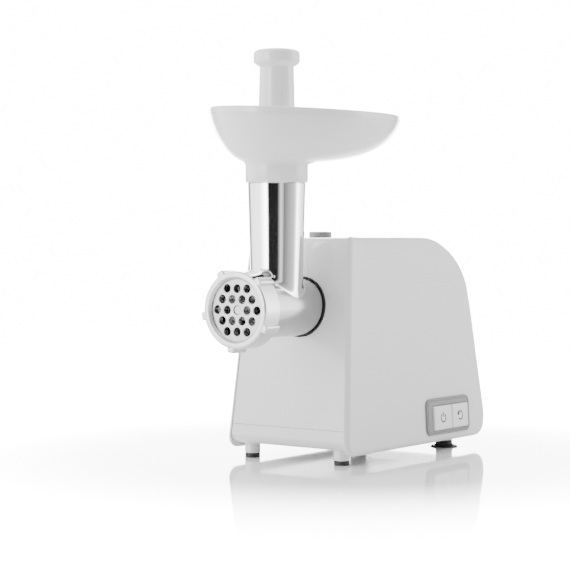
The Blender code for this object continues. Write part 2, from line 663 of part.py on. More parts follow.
def gear_train():
    down = mesh_angle(MOTOR_AXIS, WHEEL_AXIS)
    up = mesh_angle(WHEEL_AXIS, OUTPUT_AXIS)
    back = FAST_Y + FAST_GEAR_W + 0.02
    pinion = gear("motor_pinion", MOTOR_AXIS, FAST_Y - 0.5 * MM, FAST_GEAR_W + 1 * MM,
                  PINION_TEETH, FAST_MODULE, down, STEEL)
    bored(pinion, MOTOR_AXIS, SHAFT_R + GAP, FAST_Y - 0.01, back)

    wheel = gear("intermediate_gear", WHEEL_AXIS, FAST_Y, FAST_GEAR_W, WHEEL_TEETH, FAST_MODULE,
                 down + pi + pi / WHEEL_TEETH, NYLON)
    bored(wheel, WHEEL_AXIS, HUB_R + GAP, FAST_Y - 0.01, back)
    slow = gear("intermediate_pinion", WHEEL_AXIS, SLOW_Y - 0.5 * MM, SLOW_GEAR_W + 1 * MM,
                SLOW_PINION_TEETH, SLOW_MODULE, up, STEEL)
    join(slow, y_rod("hub", WHEEL_AXIS, HUB_R, SLOW_Y + SLOW_GEAR_W, FAST_Y + FAST_GEAR_W + 1 * MM),
         y_rod("wheel_journals", WHEEL_AXIS, WHEEL_JOURNAL_R, GEARBOX_Y + 1 * MM, GEARBOX_END - 0.5 * MM))

    output = gear("output_gear", OUTPUT_AXIS, SLOW_Y, SLOW_GEAR_W, OUTPUT_TEETH, SLOW_MODULE,
                  up + pi + pi / OUTPUT_TEETH, NYLON)
    bored(output, OUTPUT_AXIS, SOCKET_R + GAP, SLOW_Y - 0.01, SLOW_Y + 0.03)
    socket = y_rod("drive_socket", OUTPUT_AXIS, SOCKET_R, BARREL_END + 1 * MM, FAST_Y, STEEL)
    join(socket, y_rod("socket_journal", OUTPUT_AXIS, SOCKET_JOURNAL_R, FAST_Y - 1 * MM, GEARBOX_END - 0.5 * MM))
    cut(socket, y_rod("socket_hex", OUTPUT_AXIS, AUGER_SHAFT_R + 2 * GAP, BARREL_END, SLOW_Y + 6 * MM, sides=6))


def y_rod(name, axis, radius, start, end, look=None, sides=FEW):
    """A rod along Y that has its origin on its own axis."""
    obj = rod(name, radius, (axis[0], start, axis[1]), (axis[0], end, axis[1]), look, sides=sides)
    return rest_on(obj, (axis[0], start, axis[1]))


def gearbox():
    low_z = MOTOR_AXIS[1] - 12 * MM
    half = OUTPUT_TEETH * SLOW_MODULE / 2 + GEARBOX_MARGIN
    high_z = AXIS_Z + half
    middle = OUTPUT_AXIS[0]
    left, right = middle - half, middle + half
    thick = GEARBOX_WALL
    bush_r = SOCKET_R + BUSH_WALL
    case = box("gearbox_housing", (left, GEARBOX_Y + thick + GAP, low_z),
               (right, GEARBOX_END + thick, high_z), IVORY)
    cut(case, box("gearbox_room", (left + thick, GEARBOX_Y, low_z + thick),
                  (right - thick, GEARBOX_END, high_z - thick)))
    cover = box("gearbox_cover", (left, GEARBOX_Y, low_z), (right, GEARBOX_Y + thick, high_z), IVORY)
    for piece, start in ((case, GEARBOX_END - 0.002), (cover, GEARBOX_Y - 0.01)):
        end = start + 0.02
        bored(piece, OUTPUT_AXIS, (bush_r if piece is cover else SOCKET_JOURNAL_R) + GAP, start, end)
        cut(piece, y_rod(piece.name + "_journal", WHEEL_AXIS, WHEEL_JOURNAL_R + GAP, start, end))
    bored(case, MOTOR_AXIS, 9 * MM, GEARBOX_END - 0.01, GEARBOX_END + 0.01)
    lathe("output_bushing", [
        (SOCKET_R + GAP, 0), (bush_r, 0), (bush_r, thick + 1.5 * MM), (SOCKET_R + GAP, thick + 1.5 * MM)],
        (OUTPUT_AXIS[0], GEARBOX_Y - 0.5 * MM, OUTPUT_AXIS[1]), "Y", STEEL, 20, closed=True)
    for i, (x, z) in enumerate(((left + 5 * MM, low_z + 5 * MM), (right - 5 * MM, low_z + 5 * MM))):
        head_y = GEARBOX_Y - 2 * MM - GAP
        shank = (x, head_y, z)
        lathe(f"gearbox_screw_{i + 1}", [
            (0, 0), (3 * MM, 0), (3 * MM, 2 * MM), (SCREW_R, 2 * MM), (SCREW_R, 11 * MM), (0, 12 * MM)],
            shank, "Y", STEEL, 10)
        hole = y_rod(f"gearbox_screw_hole_{i}", (x, z), SCREW_R + GAP, GEARBOX_Y - 0.01, GEARBOX_Y + 13 * MM, sides=12)
        pillar = y_rod(f"gearbox_pillar_{i}", (x, z), 4.5 * MM, GEARBOX_Y + thick + GAP, GEARBOX_END + 1 * MM)
        join(case, pillar)
        cut(case, hole)
        cut(cover, hole)


# ---- motor ------------------------------------------------------------------------
def motor():
    x, z = MOTOR_AXIS
    half = STATOR_SIZE / 2
    end = STATOR_Y + STATOR_LENGTH
    outline = rounded_box_outline((x - half, z - half), (STATOR_SIZE, STATOR_SIZE), 6 * MM)
    stator = loft("stator_core", [[(px, y, pz) for px, pz in outline] for y in (STATOR_Y, end)], STEEL)
    cut(stator, y_rod("stator_bore", MOTOR_AXIS, ROTOR_R + 0.8 * MM, STATOR_Y - 0.01, end + 0.01, sides=24))
    for side, name in ((1, "upper"), (-1, "lower")):
        window = sorted((z + side * WINDOW_LOW, z + side * (WINDOW_LOW + WINDOW_DEPTH)))
        cut(stator, box(f"coil_window_{name}", (x - WINDOW_HALF, STATOR_Y - 0.01, window[0]),
                        (x + WINDOW_HALF, end + 0.01, window[1])))
        coil_half = WINDOW_HALF - COIL_CLEAR
        edges = (window[0] + COIL_CLEAR, window[1] - COIL_CLEAR)
        bevel(box(f"field_coil_{name}", (x - coil_half, STATOR_Y - COIL_OVERHANG, edges[0]),
                  (x + coil_half, end + COIL_OVERHANG, edges[1]), COPPER), 1.5 * MM)
    rear = end + 36 * MM
    front = GEARBOX_END + 3 * MM + 2 * MM
    y_rod("rotor_shaft", MOTOR_AXIS, SHAFT_R, FAST_Y - 1 * MM, rear + 9 * MM, STEEL, 12)
    y_ring("rotor_core", ROTOR_R, SHAFT_R + GAP, STATOR_Y, end, STEEL, 24)
    y_ring("commutator", COMMUTATOR_R, SHAFT_R + GAP, end + 12 * MM, end + 26 * MM, COPPER, 20)
    fan(front + 7 * MM)
    y_ring("front_bearing", BEARING_R, SHAFT_R + GAP, front, front + BEARING_T, STEEL, 20)
    y_ring("rear_bearing", BEARING_R, SHAFT_R + GAP, rear, rear + BEARING_T, STEEL, 20)
    for name, start in (("motor_front_bracket", front), ("motor_rear_bracket", rear)):
        plate = box(name, (x - BRACKET_HALF, start, z - 12 * MM),
                    (x + BRACKET_HALF, start + BRACKET_T, z + 12 * MM), STEEL)
        bored(plate, MOTOR_AXIS, BEARING_R + GAP, start - 0.01, start + 0.02)
        for side in (-1, 1):
            leg = sorted((x + side * (BRACKET_HALF - BRACKET_LEG), x + side * BRACKET_HALF))
            stand = box(f"{name}_leg_{side}", (leg[0], start, BODY_BOTTOM + WALL + GAP),
                        (leg[1], start + BRACKET_T, z))
            join(plate, stand)
    for side, name in ((-1, "left"), (1, "right")):
        y = end + 19 * MM
        inner = side * (COMMUTATOR_R + 0.4 * MM)
        spread = sorted((x + inner, x + side * 21 * MM))
        box(f"carbon_brush_{name}", (spread[0], y - BRUSH_HALF, z - BRUSH_HALF),
            (spread[1], y + BRUSH_HALF, z + BRUSH_HALF), BLACK)
        outer = sorted((x + side * 13 * MM, x + side * 28 * MM))
        holder = box(f"brush_holder_{name}", (outer[0], y - 5 * MM, z - 5 * MM), (outer[1], y + 5 * MM, z + 5 * MM),
                     NYLON)
        slide = BRUSH_HALF + GAP
        slot = sorted((x + side * 12 * MM, x + side * 26 * MM))
        cut(holder, box(f"brush_slot_{name}", (slot[0], y - slide, z - slide),
                        (slot[1], y + slide, z + slide)))


def y_ring(name, outer, inner, start, end, look, sides):
    return lathe(name, [(inner, 0), (outer, 0), (outer, end - start), (inner, end - start)],
                 (MOTOR_AXIS[0], start, MOTOR_AXIS[1]), "Y", look, sides, closed=True)


def fan(start):
    """The cooling fan: a hub with a back disc and straight blades."""
    x, z = MOTOR_AXIS
    hub = y_ring("cooling_fan", 12 * MM, SHAFT_R + GAP, start, start + 8 * MM, BLACK, 20)
    disc = y_ring("fan_disc", FAN_R, SHAFT_R + 2 * MM, start, start + 1.5 * MM, None, 24)
    join(hub, disc)
    for i in range(FAN_BLADES):
        blade = box(f"fan_blade_{i}", (9 * MM, 0.5 * MM, -0.7 * MM), (FAN_R, 7 * MM, 0.7 * MM))
        blade.rotation_euler = Euler((0, 2 * pi * i / FAN_BLADES, 0))
        blade.location = (x, start, z)
        join(hub, blade)


# ---- grinding head ------------------------------------------------------------------
def head():
    """Barrel and feed tube in one casting. Its origin is on the barrel's axis."""
    axis = (0, PORT_Y, AXIS_Z)
    front, back = MOUTH_Y - PORT_Y, BARREL_BACK
    step = front + MOUTH_DEPTH
    barrel = lathe("head_casting", [
        (0, front), (MOUTH_R, front), (MOUTH_R, step), (BARREL_R + 1.6 * MM, step + 3 * MM),
        (BARREL_R, step + 6 * MM), (BARREL_R, NECK_BACK), (NECK_R, NECK_BACK), (NECK_R, back), (0, back)],
        axis, "Y", ALUMINIUM)
    base_z = AXIS_Z - 2 * MM
    slope = (TUBE_TOP_R - TUBE_LOW_R) / (TUBE_TOP - AXIS_Z)
    tube = lathe("tube_outside", [
        (0, TUBE_TOP + SPIGOT_H), (SPIGOT_R, TUBE_TOP + SPIGOT_H), (SPIGOT_R, TUBE_TOP), (TUBE_TOP_R, TUBE_TOP),
        (TUBE_TOP_R - slope * (TUBE_TOP - base_z), base_z), (0, base_z)], (0, TUBE_Y, 0), "Z")
    join(barrel, tube)
    for side in (-1, 1):
        ledge = box(f"ledge_{side}", (-4 * MM, 0, 0), (4 * MM, 12 * MM, 5 * MM))
        ledge.location = (side * 13 * MM, FLIGHT_Y + 4 * MM, AXIS_Z + BARREL_R - 5.5 * MM)
        join(barrel, bevel(ledge, 1 * MM))
        reach = sorted((side * (NECK_R - 2.4 * MM), side * (BARREL_R - 0.2 * MM)))
        join(barrel, box(f"bayonet_{side}", (reach[0], BARREL_END - LUG_T, AXIS_Z - 5 * MM),
                         (reach[1], BARREL_END, AXIS_Z + 5 * MM)))
    bore_end = BARREL_BACK - 8 * MM
    knife_room = FLIGHT_Y - PORT_Y - 0.2 * MM
    bore = lathe("barrel_bore", [
        (0, front - 0.01), (MOUTH_BORE, front - 0.01), (MOUTH_BORE, knife_room), (BARREL_BORE, knife_room),
        (BARREL_BORE, bore_end), (AUGER_SHAFT_R + 1.5 * MM, bore_end), (AUGER_SHAFT_R + 1.5 * MM, back + 0.01),
        (0, back + 0.01)], axis, "Y")
    feed = lathe("feed_bore", [
        (0, TUBE_TOP + 0.03), (SPIGOT_R - TUBE_WALL, TUBE_TOP + 0.03), (TUBE_TOP_R - TUBE_WALL - 0.7 * MM, TUBE_TOP),
        (TUBE_TOP_R - TUBE_WALL - slope * (TUBE_TOP - AXIS_Z), AXIS_Z), (0, AXIS_Z)], (0, TUBE_Y, 0), "Z")
    cut(barrel, bore, feed)
    key_low = AXIS_Z - MOUTH_BORE - 0.5 * MM
    join(barrel, box("plate_key", (-1.4 * MM, MOUTH_Y + 0.3 * MM, key_low),
                     (1.4 * MM, MOUTH_Y + 7 * MM, key_low + 2.2 * MM)))


def auger():
    """The feed screw: a tapered core with one helical flight, a square nose and a hexagonal tail."""
    axis = (0, AXIS_Z)
    flight_end = BARREL_END - 20 * MM
    core = rod("auger", AUGER_CORE_FRONT_R, (0, FLIGHT_Y, AXIS_Z), (0, flight_end + 4 * MM, AXIS_Z), ALUMINIUM,
               AUGER_CORE_BACK_R, 20)
    rest_on(core, (0, FLIGHT_Y, AXIS_Z))
    length = flight_end - FLIGHT_Y - 4 * MM
    turns = length / FLIGHT_PITCH
    steps = int(18 * turns)
    tip = BARREL_BORE - FLIGHT_CLEAR
    rings = []
    for i in range(steps + 1):
        turn = 2 * pi * turns * i / steps
        y = FLIGHT_Y + 2.2 * MM + length * i / steps
        out = Vector((cos(turn), 0, -sin(turn)))
        rings.append([Vector((0, y + dy, AXIS_Z)) + out * radius for radius, dy in
                      ((6 * MM, -2.1 * MM), (tip, -1.1 * MM), (tip, 1.1 * MM), (6 * MM, 2.1 * MM))])
    join(core, loft("auger_flight", rings))
    nose = box("auger_nose", (-NOSE_HALF, KNIFE_Y + 0.5 * MM, AXIS_Z - NOSE_HALF),
               (NOSE_HALF, FLIGHT_Y + 2 * MM, AXIS_Z + NOSE_HALF))
    pin = y_rod("auger_pin", axis, PIN_R, PLATE_Y + 1 * MM, FLIGHT_Y, sides=12)
    shaft = y_rod("auger_shaft", axis, AUGER_SHAFT_R, flight_end, BARREL_END - 2 * MM)
    tail = y_rod("auger_tail", axis, AUGER_SHAFT_R, BARREL_END - 4 * MM, SLOW_Y + 4 * MM, sides=6)
    join(core, nose, pin, shaft, tail)
    start = flight_end + 4 * MM + GAP
    lathe("rear_auger_bush", [
        (AUGER_SHAFT_R + GAP, 0), (REAR_BUSH_R, 0), (REAR_BUSH_R, BARREL_END - 8 * MM - start - GAP),
        (AUGER_SHAFT_R + GAP, BARREL_END - 8 * MM - start - GAP)],
        (0, start, AXIS_Z), "Y", NYLON, 20, closed=True)


def knife():
    """The four-armed knife, driven by the screw's square nose."""
    low, high = KNIFE_Y, KNIFE_Y + KNIFE_T
    hub = y_rod("knife", (0, AXIS_Z), 8.5 * MM, low, high, STEEL, 16)
    for i in range(2):
        bar = box(f"knife_bar_{i}", (-KNIFE_REACH, 0, -KNIFE_ARM), (KNIFE_REACH, 5 * MM, KNIFE_ARM))
        bar.rotation_euler = Euler((0, i * pi / 2 + pi / 4, 0))
        bar.location = (0, low, AXIS_Z)
        join(hub, bevel(bar, 1.5 * MM))
    fit = NOSE_HALF + GAP
    cut(hub, box("knife_square", (-fit, low - 0.01, AXIS_Z - fit), (fit, high + 0.01, AXIS_Z + fit)))


def plate_holes():
    """Places of the plate's holes: a hexagonal lattice of 3, 4, 5, 4 and 3, without the middle one."""
    rise = PLATE_PITCH * 3 ** 0.5 / 2
    for row in range(-2, 3):
        count = 5 - abs(row)
        for i in range(count):
            x = (i - (count - 1) / 2) * PLATE_PITCH
            if row or abs(x) > 0.1 * PLATE_PITCH:
                yield x, row * rise


def cutting_plate():
    plate = lathe("cutting_plate", [
        (PIN_R + GAP, 0), (PLATE_R, 0), (PLATE_R, PLATE_T), (PIN_R + GAP, PLATE_T)],
        (0, PLATE_Y, AXIS_Z), "Y", STEEL, STEPS, closed=True)
    for i, (x, z) in enumerate(plate_holes()):
        cut(plate, y_rod(f"plate_hole_{i}", (x, AXIS_Z + z), PLATE_HOLE_R, PLATE_Y - 0.01, PLATE_Y + 0.02, sides=12))
    cut(plate, box("plate_notch", (-1.9 * MM, PLATE_Y - 0.01, AXIS_Z - PLATE_R - 0.01),
                   (1.9 * MM, PLATE_Y + 0.02, AXIS_Z - PLATE_R + 2.1 * MM)))


def fixing_ring():
    """The ring nut: a lip that holds the plate, a skirt over the barrel's mouth, and lugs to grip."""
    bore = MOUTH_R + GAP
    ring = lathe("fixing_ring", [
        (RING_OPENING, 1 * MM), (RING_OPENING + 0.8 * MM, 0), (RING_R - 1.2 * MM, 0), (RING_R, 1.2 * MM),
        (RING_R, RING_DEPTH), (bore, RING_DEPTH), (bore, RING_LIP), (RING_OPENING, RING_LIP)],
        (0, RING_Y, AXIS_Z), "Y", ALUMINIUM, STEPS, closed=True)
    for i in range(RING_LUGS):
        half = RING_LUG_WIDTH / 2
        lug = box(f"ring_lug_{i}", (RING_R - 1.2 * MM, 0.6 * MM, -half), (RING_LUG_R, RING_DEPTH - 0.6 * MM, half))
        lug.rotation_euler = Euler((0, -RING_LUG_TURN - 2 * pi * i / RING_LUGS, 0))
        lug.location = (0, RING_Y, AXIS_Z)
        join(ring, bevel(lug, 1.2 * MM))


# ---- tray and pusher -------------------------------------------------------------------
def tray_ring(spread, height, around=STEPS):
    """A section of the bowl: spread runs from the collar's third of the rim's size to 1 at the rim."""
    low = 1 / 3
    grown = (spread - low) / (1 - low)
    half_x = COLLAR_R + (TRAY_HALF_WIDTH - COLLAR_R) * grown
    half_y = COLLAR_R + (TRAY_HALF_LENGTH - COLLAR_R) * grown
    shift = TRAY_SHIFT * (1 - ((1 - spread) / (1 - low)) ** 1.25)
    ring = []
    for i in range(around):
        x, y = half_x * cos(2 * pi * i / around), half_y * sin(2 * pi * i / around)
        ring.append((x, TUBE_Y + shift + y, height - TRAY_TILT * grown * x))
    return ring


def tray():
    """The bowl on its collar, an open surface that faces inwards and is thickened that way."""
    floor = TUBE_TOP + GAP + COLLAR_H
    rings = [tray_ring(1 / 3, TUBE_TOP + GAP), tray_ring(1 / 3, floor - 1 * MM)]
    for spread in (0.38, 0.50, 0.62, 0.74, 0.84, 0.92, 0.975, 1.0):
        rise = 1 - (1 - spread ** 3) ** 0.55
        rings.append(tray_ring(spread, floor + TRAY_DEPTH * rise))
    bowl = loft("tray", rings, WHITE, caps=False)
    thick = bowl.modifiers.new("Wall", "SOLIDIFY")
    thick.thickness = TRAY_WALL
    thick.offset = 1
    rest_on(bowl, (0, TUBE_Y, TUBE_TOP))


def pusher():
    knob_low = PUSHER_TOP - KNOB_H
    lathe("pusher", [
        (0, PUSHER_TOP), (KNOB_R - 3.5 * MM, PUSHER_TOP), (KNOB_R - 1 * MM, PUSHER_TOP - 2 * MM),
        (KNOB_R, PUSHER_TOP - 6 * MM), (KNOB_R - 1 * MM, PUSHER_TOP - 10.5 * MM), (KNOB_R - 3.5 * MM, knob_low),
        (PUSHER_NECK_R, knob_low - 0.4 * MM), (PUSHER_LOW_R, PUSHER_BOTTOM + 1 * MM),
        (PUSHER_LOW_R - 1 * MM, PUSHER_BOTTOM), (0, PUSHER_BOTTOM)], (0, TUBE_Y, 0), "Z", WHITE, 28)


# ---- the build ---------------------------------------------------------------------------
clear_scene()
PARTS = collection("Electric_Meat_Grinder")
CUTTERS = collection("Cutters")
housing()
port_liner()
release_latch()
controls()
rear_fittings()
gear_train()
gearbox()
motor()
head()
auger()
knife()
cutting_plate()
fixing_ring()
tray()
pusher()
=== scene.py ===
"""Electric meat grinder: looks, studio and camera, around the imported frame."""
import json
from math import atan2, cos, hypot, pi, radians, sin, tan

import bmesh
import bpy
from mathutils import Euler, Matrix, Vector

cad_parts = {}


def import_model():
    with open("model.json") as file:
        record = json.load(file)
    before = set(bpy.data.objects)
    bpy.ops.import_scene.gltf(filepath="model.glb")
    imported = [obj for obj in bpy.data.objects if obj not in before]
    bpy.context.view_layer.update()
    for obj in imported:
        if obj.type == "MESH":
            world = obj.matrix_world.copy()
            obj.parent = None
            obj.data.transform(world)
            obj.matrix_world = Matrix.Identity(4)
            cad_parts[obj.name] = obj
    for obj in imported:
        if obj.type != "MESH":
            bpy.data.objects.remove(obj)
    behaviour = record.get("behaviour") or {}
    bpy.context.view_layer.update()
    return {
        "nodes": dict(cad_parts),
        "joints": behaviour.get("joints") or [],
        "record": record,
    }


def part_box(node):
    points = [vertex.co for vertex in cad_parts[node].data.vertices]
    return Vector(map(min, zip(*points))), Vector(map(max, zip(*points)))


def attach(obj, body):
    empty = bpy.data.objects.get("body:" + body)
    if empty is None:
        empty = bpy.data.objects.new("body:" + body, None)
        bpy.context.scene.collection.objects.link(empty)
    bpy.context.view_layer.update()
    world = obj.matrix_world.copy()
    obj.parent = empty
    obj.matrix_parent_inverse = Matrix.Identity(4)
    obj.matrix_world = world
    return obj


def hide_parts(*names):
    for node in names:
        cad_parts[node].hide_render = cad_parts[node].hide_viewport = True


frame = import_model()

MM = 0.001
JOINTS = {joint["name"]: joint for joint in frame["joints"]}

# ---- places that the frame gives ------------------------------------------------
AXIS_Z = JOINTS["head_turn"]["pos_m"][2]          # barrel axis
PORT_Y = JOINTS["head_turn"]["pos_m"][1]          # housing front, on the barrel axis
RING_LOW, RING_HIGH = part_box("fixing_ring")
PLATE_LOW, PLATE_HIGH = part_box("cutting_plate")
TRAY_LOW, TRAY_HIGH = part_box("tray")
PUSHER_LOW, PUSHER_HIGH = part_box("pusher")
HEAD_LOW, HEAD_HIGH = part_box("head_casting")
BUTTON_LOW, BUTTON_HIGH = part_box("release_button")
TUBE_Y = (PUSHER_LOW[1] + PUSHER_HIGH[1]) / 2

# ---- the housing's form, as in the part -------------------------------------------
BODY_TOP = 184.0 * MM
BODY_BOTTOM = 12.0 * MM
SIDE_BOTTOM = 8.0 * MM
BODY_X = -6.3 * MM
BODY_HALF = 62.0 * MM
SIDE_DRAFT = 0.058
FRONT_LEAN = 0.1076
CROWN_START = 122.4 * MM
CROWN_DEPTH = 70.0 * MM
CROWN_DROP = 50.0 * MM
BACK_REACH = 17.5 * MM
BACK_FOOT_Z = 28.0 * MM
FRONT_CORNER = 11.0 * MM
BACK_CORNER = 20.0 * MM
TOP_CORNER = 6.5 * MM
COVER_T = 4.0 * MM
COVER_PROUD = 0.9 * MM
WALL = 2.5 * MM
SEAM_Z = 28.5 * MM
SEAM = 0.30 * MM

BARREL_R = 23.3 * MM
LINER_BORE = 23.6 * MM
LINER_PROUD = 1.4 * MM
PORT_R = 24.7 * MM
NECK_R = 19.4 * MM
NECK_BACK = 24.2 * MM
LUG_IN = 17.0 * MM              # bayonet lugs, from the barrel's axis
LUG_OUT = 23.1 * MM
MOUTH_R = 28.4 * MM
MOUTH_BORE = 26.8 * MM
BARREL_BORE = 21.3 * MM
TUBE_LOW_R = 20.3 * MM
TUBE_TOP_R = 23.3 * MM
TUBE_TOP = 226.5 * MM
SPIGOT_R = 22.6 * MM
COLLAR_R = 25.2 * MM
COLLAR_H = 15.5 * MM
TRAY_TILT = 0.045


# ---- shape helpers -------------------------------------------------------------------
def fillet(corner, before, after, radius, steps=6):
    """Points of the arc that rounds a corner between two straight runs."""
    corner, before, after = Vector(corner), Vector(before), Vector(after)
    u, v = (before - corner).normalized(), (after - corner).normalized()
    half = u.angle(v) / 2
    if radius <= 0 or half > radians(89.5):
        return [tuple(corner)]
    centre = corner + (u + v).normalized() * radius / sin(half)
    start = corner + u * radius / tan(half) - centre
    sweep = -start.angle_signed(corner + v * radius / tan(half) - centre)
    return [tuple(centre + Matrix.Rotation(sweep * i / steps, 2) @ start) for i in range(steps + 1)]


def rounded(points, closed=False, steps=5):
    """A profile whose corners (a, b, radius) are rounded."""
    out = []
    for i, (a, b, radius) in enumerate(points):
        if not closed and i in (0, len(points) - 1):
            out.append((a, b))
            continue
        before, after = points[i - 1], points[(i + 1) % len(points)]
        out += fillet((a, b), before[:2], after[:2], radius, steps)
    return out


def link(obj):
    bpy.context.scene.collection.objects.link(obj)
    return obj


def drop(obj):
    bpy.data.objects.remove(obj, do_unlink=True)


def from_bmesh(name, bm, sharp=30):
    bmesh.ops.recalc_face_normals(bm, faces=bm.faces)
    if bm.calc_volume(signed=True) < 0:
        bmesh.ops.reverse_faces(bm, faces=bm.faces)
    mesh = bpy.data.meshes.new(name)
    bm.to_mesh(mesh)
    bm.free()
    mesh.shade_smooth()
    mesh.set_sharp_from_angle(angle=radians(sharp))
    return link(bpy.data.objects.new(name, mesh))


def loft(name, rings, caps=True, closed=False, sharp=30):
    """Skin over rings that have the same number of points. closed joins the last ring to the first."""
    bm = bmesh.new()
    rows = [[bm.verts.new(point) for point in ring] for ring in rings]
    count = len(rows[0])
    pairs = list(zip(rows, rows[1:])) + ([(rows[-1], rows[0])] if closed else [])
    for low, high in pairs:
        for i in range(count):
            j = (i + 1) % count
            bm.faces.new((low[i], low[j], high[j], high[i]))
    if caps and not closed:
        bm.faces.new(rows[0])
        bm.faces.new(rows[-1])
    return from_bmesh(name, bm, sharp)


def turned(name, profile, centre, axis="Z", steps=96, closed=False, flute=None, sharp=30):
    """A turned shape from (radius, distance along the axis). flute(angle) scales the radius."""
    rings = []
    for radius, along in profile:
        ring = []
        for i in range(steps):
            angle = 2 * pi * i / steps
            r = max(radius, 1e-6) * (flute(angle) if flute else 1)
            a, b = r * cos(angle), r * sin(angle)
            ring.append((a, b, along) if axis == "Z" else (a, along, b))
        rings.append(ring)
    obj = loft(name, rings, caps=not closed, closed=closed, sharp=sharp)
    obj.data.transform(Matrix.Translation(Vector(centre)))
    bm = bmesh.new()
    bm.from_mesh(obj.data)
    bmesh.ops.remove_doubles(bm, verts=bm.verts, dist=1e-5)
    bm.to_mesh(obj.data)
    bm.free()
    return obj


def block(name, low, high, rounding=0.0, segments=3):
    bm = bmesh.new()
    bmesh.ops.create_cube(bm, size=1)
    low, high = Vector(low), Vector(high)
    bm.transform(Matrix.Translation((low + high) / 2) @ Matrix.Diagonal((*(high - low), 1)))
    if rounding:
        bmesh.ops.bevel(bm, geom=bm.edges[:], offset=rounding, segments=segments, profile=0.5,
                        affect="EDGES")
    return from_bmesh(name, bm)


def applied(obj):
    """Replaces an object's mesh by its evaluated one."""
    bpy.context.view_layer.update()
    graph = bpy.context.evaluated_depsgraph_get()
    mesh = bpy.data.meshes.new_from_object(obj.evaluated_get(graph))
    obj.modifiers.clear()
    obj.data = mesh
    return obj


def boolean(obj, tools, operation):
    """Cuts, joins or keeps with each tool in turn, and removes the tools."""
    for tool in tools:
        step = obj.modifiers.new("Boolean", "BOOLEAN")
        step.operation = operation
        step.object = tool
        applied(obj)
        drop(tool)
    return obj


def soften(obj, width, segments=2, angle=40, sharp=35):
    """Rounds the hard edges, and keeps broad faces shaded flat."""
    step = obj.modifiers.new("Round", "BEVEL")
    step.width = width
    step.segments = segments
    step.limit_method = "ANGLE"
    step.angle_limit = radians(angle)
    step.use_clamp_overlap = True
    applied(obj)
    obj.data.shade_smooth()
    obj.data.set_sharp_from_angle(angle=radians(sharp))
    weighted(obj)
    return obj


def weighted(obj):
    step = obj.modifiers.new("Weighted", "WEIGHTED_NORMAL")
    step.keep_sharp = True
    return obj


def finish_piece(obj, body, slot, look, *nodes):
    """Gives a piece its material, its body and the CAD nodes that it stands for."""
    obj.data.materials.clear()
    obj.data.materials.append(look)
    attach(obj, body)
    if nodes:
        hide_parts(*nodes)
    return obj


# ---- materials -------------------------------------------------------------------------
def tree(name):
    made = bpy.data.materials.new(name)
    made.use_nodes = True
    nodes, links = made.node_tree.nodes, made.node_tree.links
    return made, nodes, links, nodes["Principled BSDF"]


def textured(name, colour, vary=0.03, roughness=0.3, rough_vary=0.05, metallic=0.0, scale=40.0,
             grain=900.0, bump=0.02, depth=0.00005, coat=0.0, coat_roughness=0.05, stretch=(1, 1, 1),
             ior=1.5, specular=0.5):
    """A surface with cloudy colour and gloss, and a fine grain in its relief."""
    made, nodes, links, shader = tree(name)
    shader.inputs["Metallic"].default_value = metallic
    shader.inputs["IOR"].default_value = ior
    shader.inputs["Specular IOR Level"].default_value = specular
    shader.inputs["Coat Weight"].default_value = coat
    shader.inputs["Coat Roughness"].default_value = coat_roughness
    place = nodes.new("ShaderNodeTexCoord")
    mapping = nodes.new("ShaderNodeMapping")
    mapping.inputs["Scale"].default_value = stretch
    links.new(place.outputs["Object"], mapping.inputs["Vector"])
    cloud = nodes.new("ShaderNodeTexNoise")
    cloud.inputs["Scale"].default_value = scale
    cloud.inputs["Detail"].default_value = 4
    links.new(mapping.outputs["Vector"], cloud.inputs["Vector"])
    ramp = nodes.new("ShaderNodeValToRGB")
    ramp.color_ramp.elements[0].position = 0.3
    ramp.color_ramp.elements[1].position = 0.7
    ramp.color_ramp.elements[0].color = (*[c * (1 - vary) for c in colour], 1)
    ramp.color_ramp.elements[1].color = (*[min(1, c * (1 + vary)) for c in colour], 1)
    links.new(cloud.outputs["Fac"], ramp.inputs["Fac"])
    links.new(ramp.outputs["Color"], shader.inputs["Base Color"])
    fine = nodes.new("ShaderNodeTexNoise")
    fine.inputs["Scale"].default_value = grain
    fine.inputs["Detail"].default_value = 3
    links.new(mapping.outputs["Vector"], fine.inputs["Vector"])
    gloss = nodes.new("ShaderNodeMapRange")
    gloss.inputs["To Min"].default_value = max(0.0, roughness - rough_vary)
    gloss.inputs["To Max"].default_value = roughness + rough_vary
    links.new(cloud.outputs["Fac"], gloss.inputs["Value"])
    links.new(gloss.outputs["Result"], shader.inputs["Roughness"])
    relief = nodes.new("ShaderNodeBump")
    relief.inputs["Strength"].default_value = bump
    relief.inputs["Distance"].default_value = depth
    links.new(fine.outputs["Fac"], relief.inputs["Height"])
    links.new(relief.outputs["Normal"], shader.inputs["Normal"])
    return made


def ringed(name, colour, centre, marks_scale, **settings):
    """Like textured, with fine turning marks round an axis along Y through centre."""
    made = textured(name, colour, **settings)
    nodes, links = made.node_tree.nodes, made.node_tree.links
    place = next(n for n in nodes if n.type == "TEX_COORD")
    shift = nodes.new("ShaderNodeMapping")
    shift.inputs["Location"].default_value = (-centre[0], -centre[1], -centre[2])
    links.new(place.outputs["Object"], shift.inputs["Vector"])
    marks = nodes.new("ShaderNodeTexWave")
    marks.wave_type = "RINGS"
    marks.rings_direction = "Y"
    marks.inputs["Scale"].default_value = marks_scale
    marks.inputs["Distortion"].default_value = 1.5
    marks.inputs["Detail"].default_value = 2
    links.new(shift.outputs["Vector"], marks.inputs["Vector"])
    second = nodes.new("ShaderNodeBump")
    second.inputs["Strength"].default_value = 0.12
    second.inputs["Distance"].default_value = 0.00003
    first = next(n for n in nodes if n.type == "BUMP" and n != second)
    shader = nodes["Principled BSDF"]
    links.new(marks.outputs["Fac"], second.inputs["Height"])
    links.new(first.outputs["Normal"], second.inputs["Normal"])
    links.new(second.outputs["Normal"], shader.inputs["Normal"])
    return made


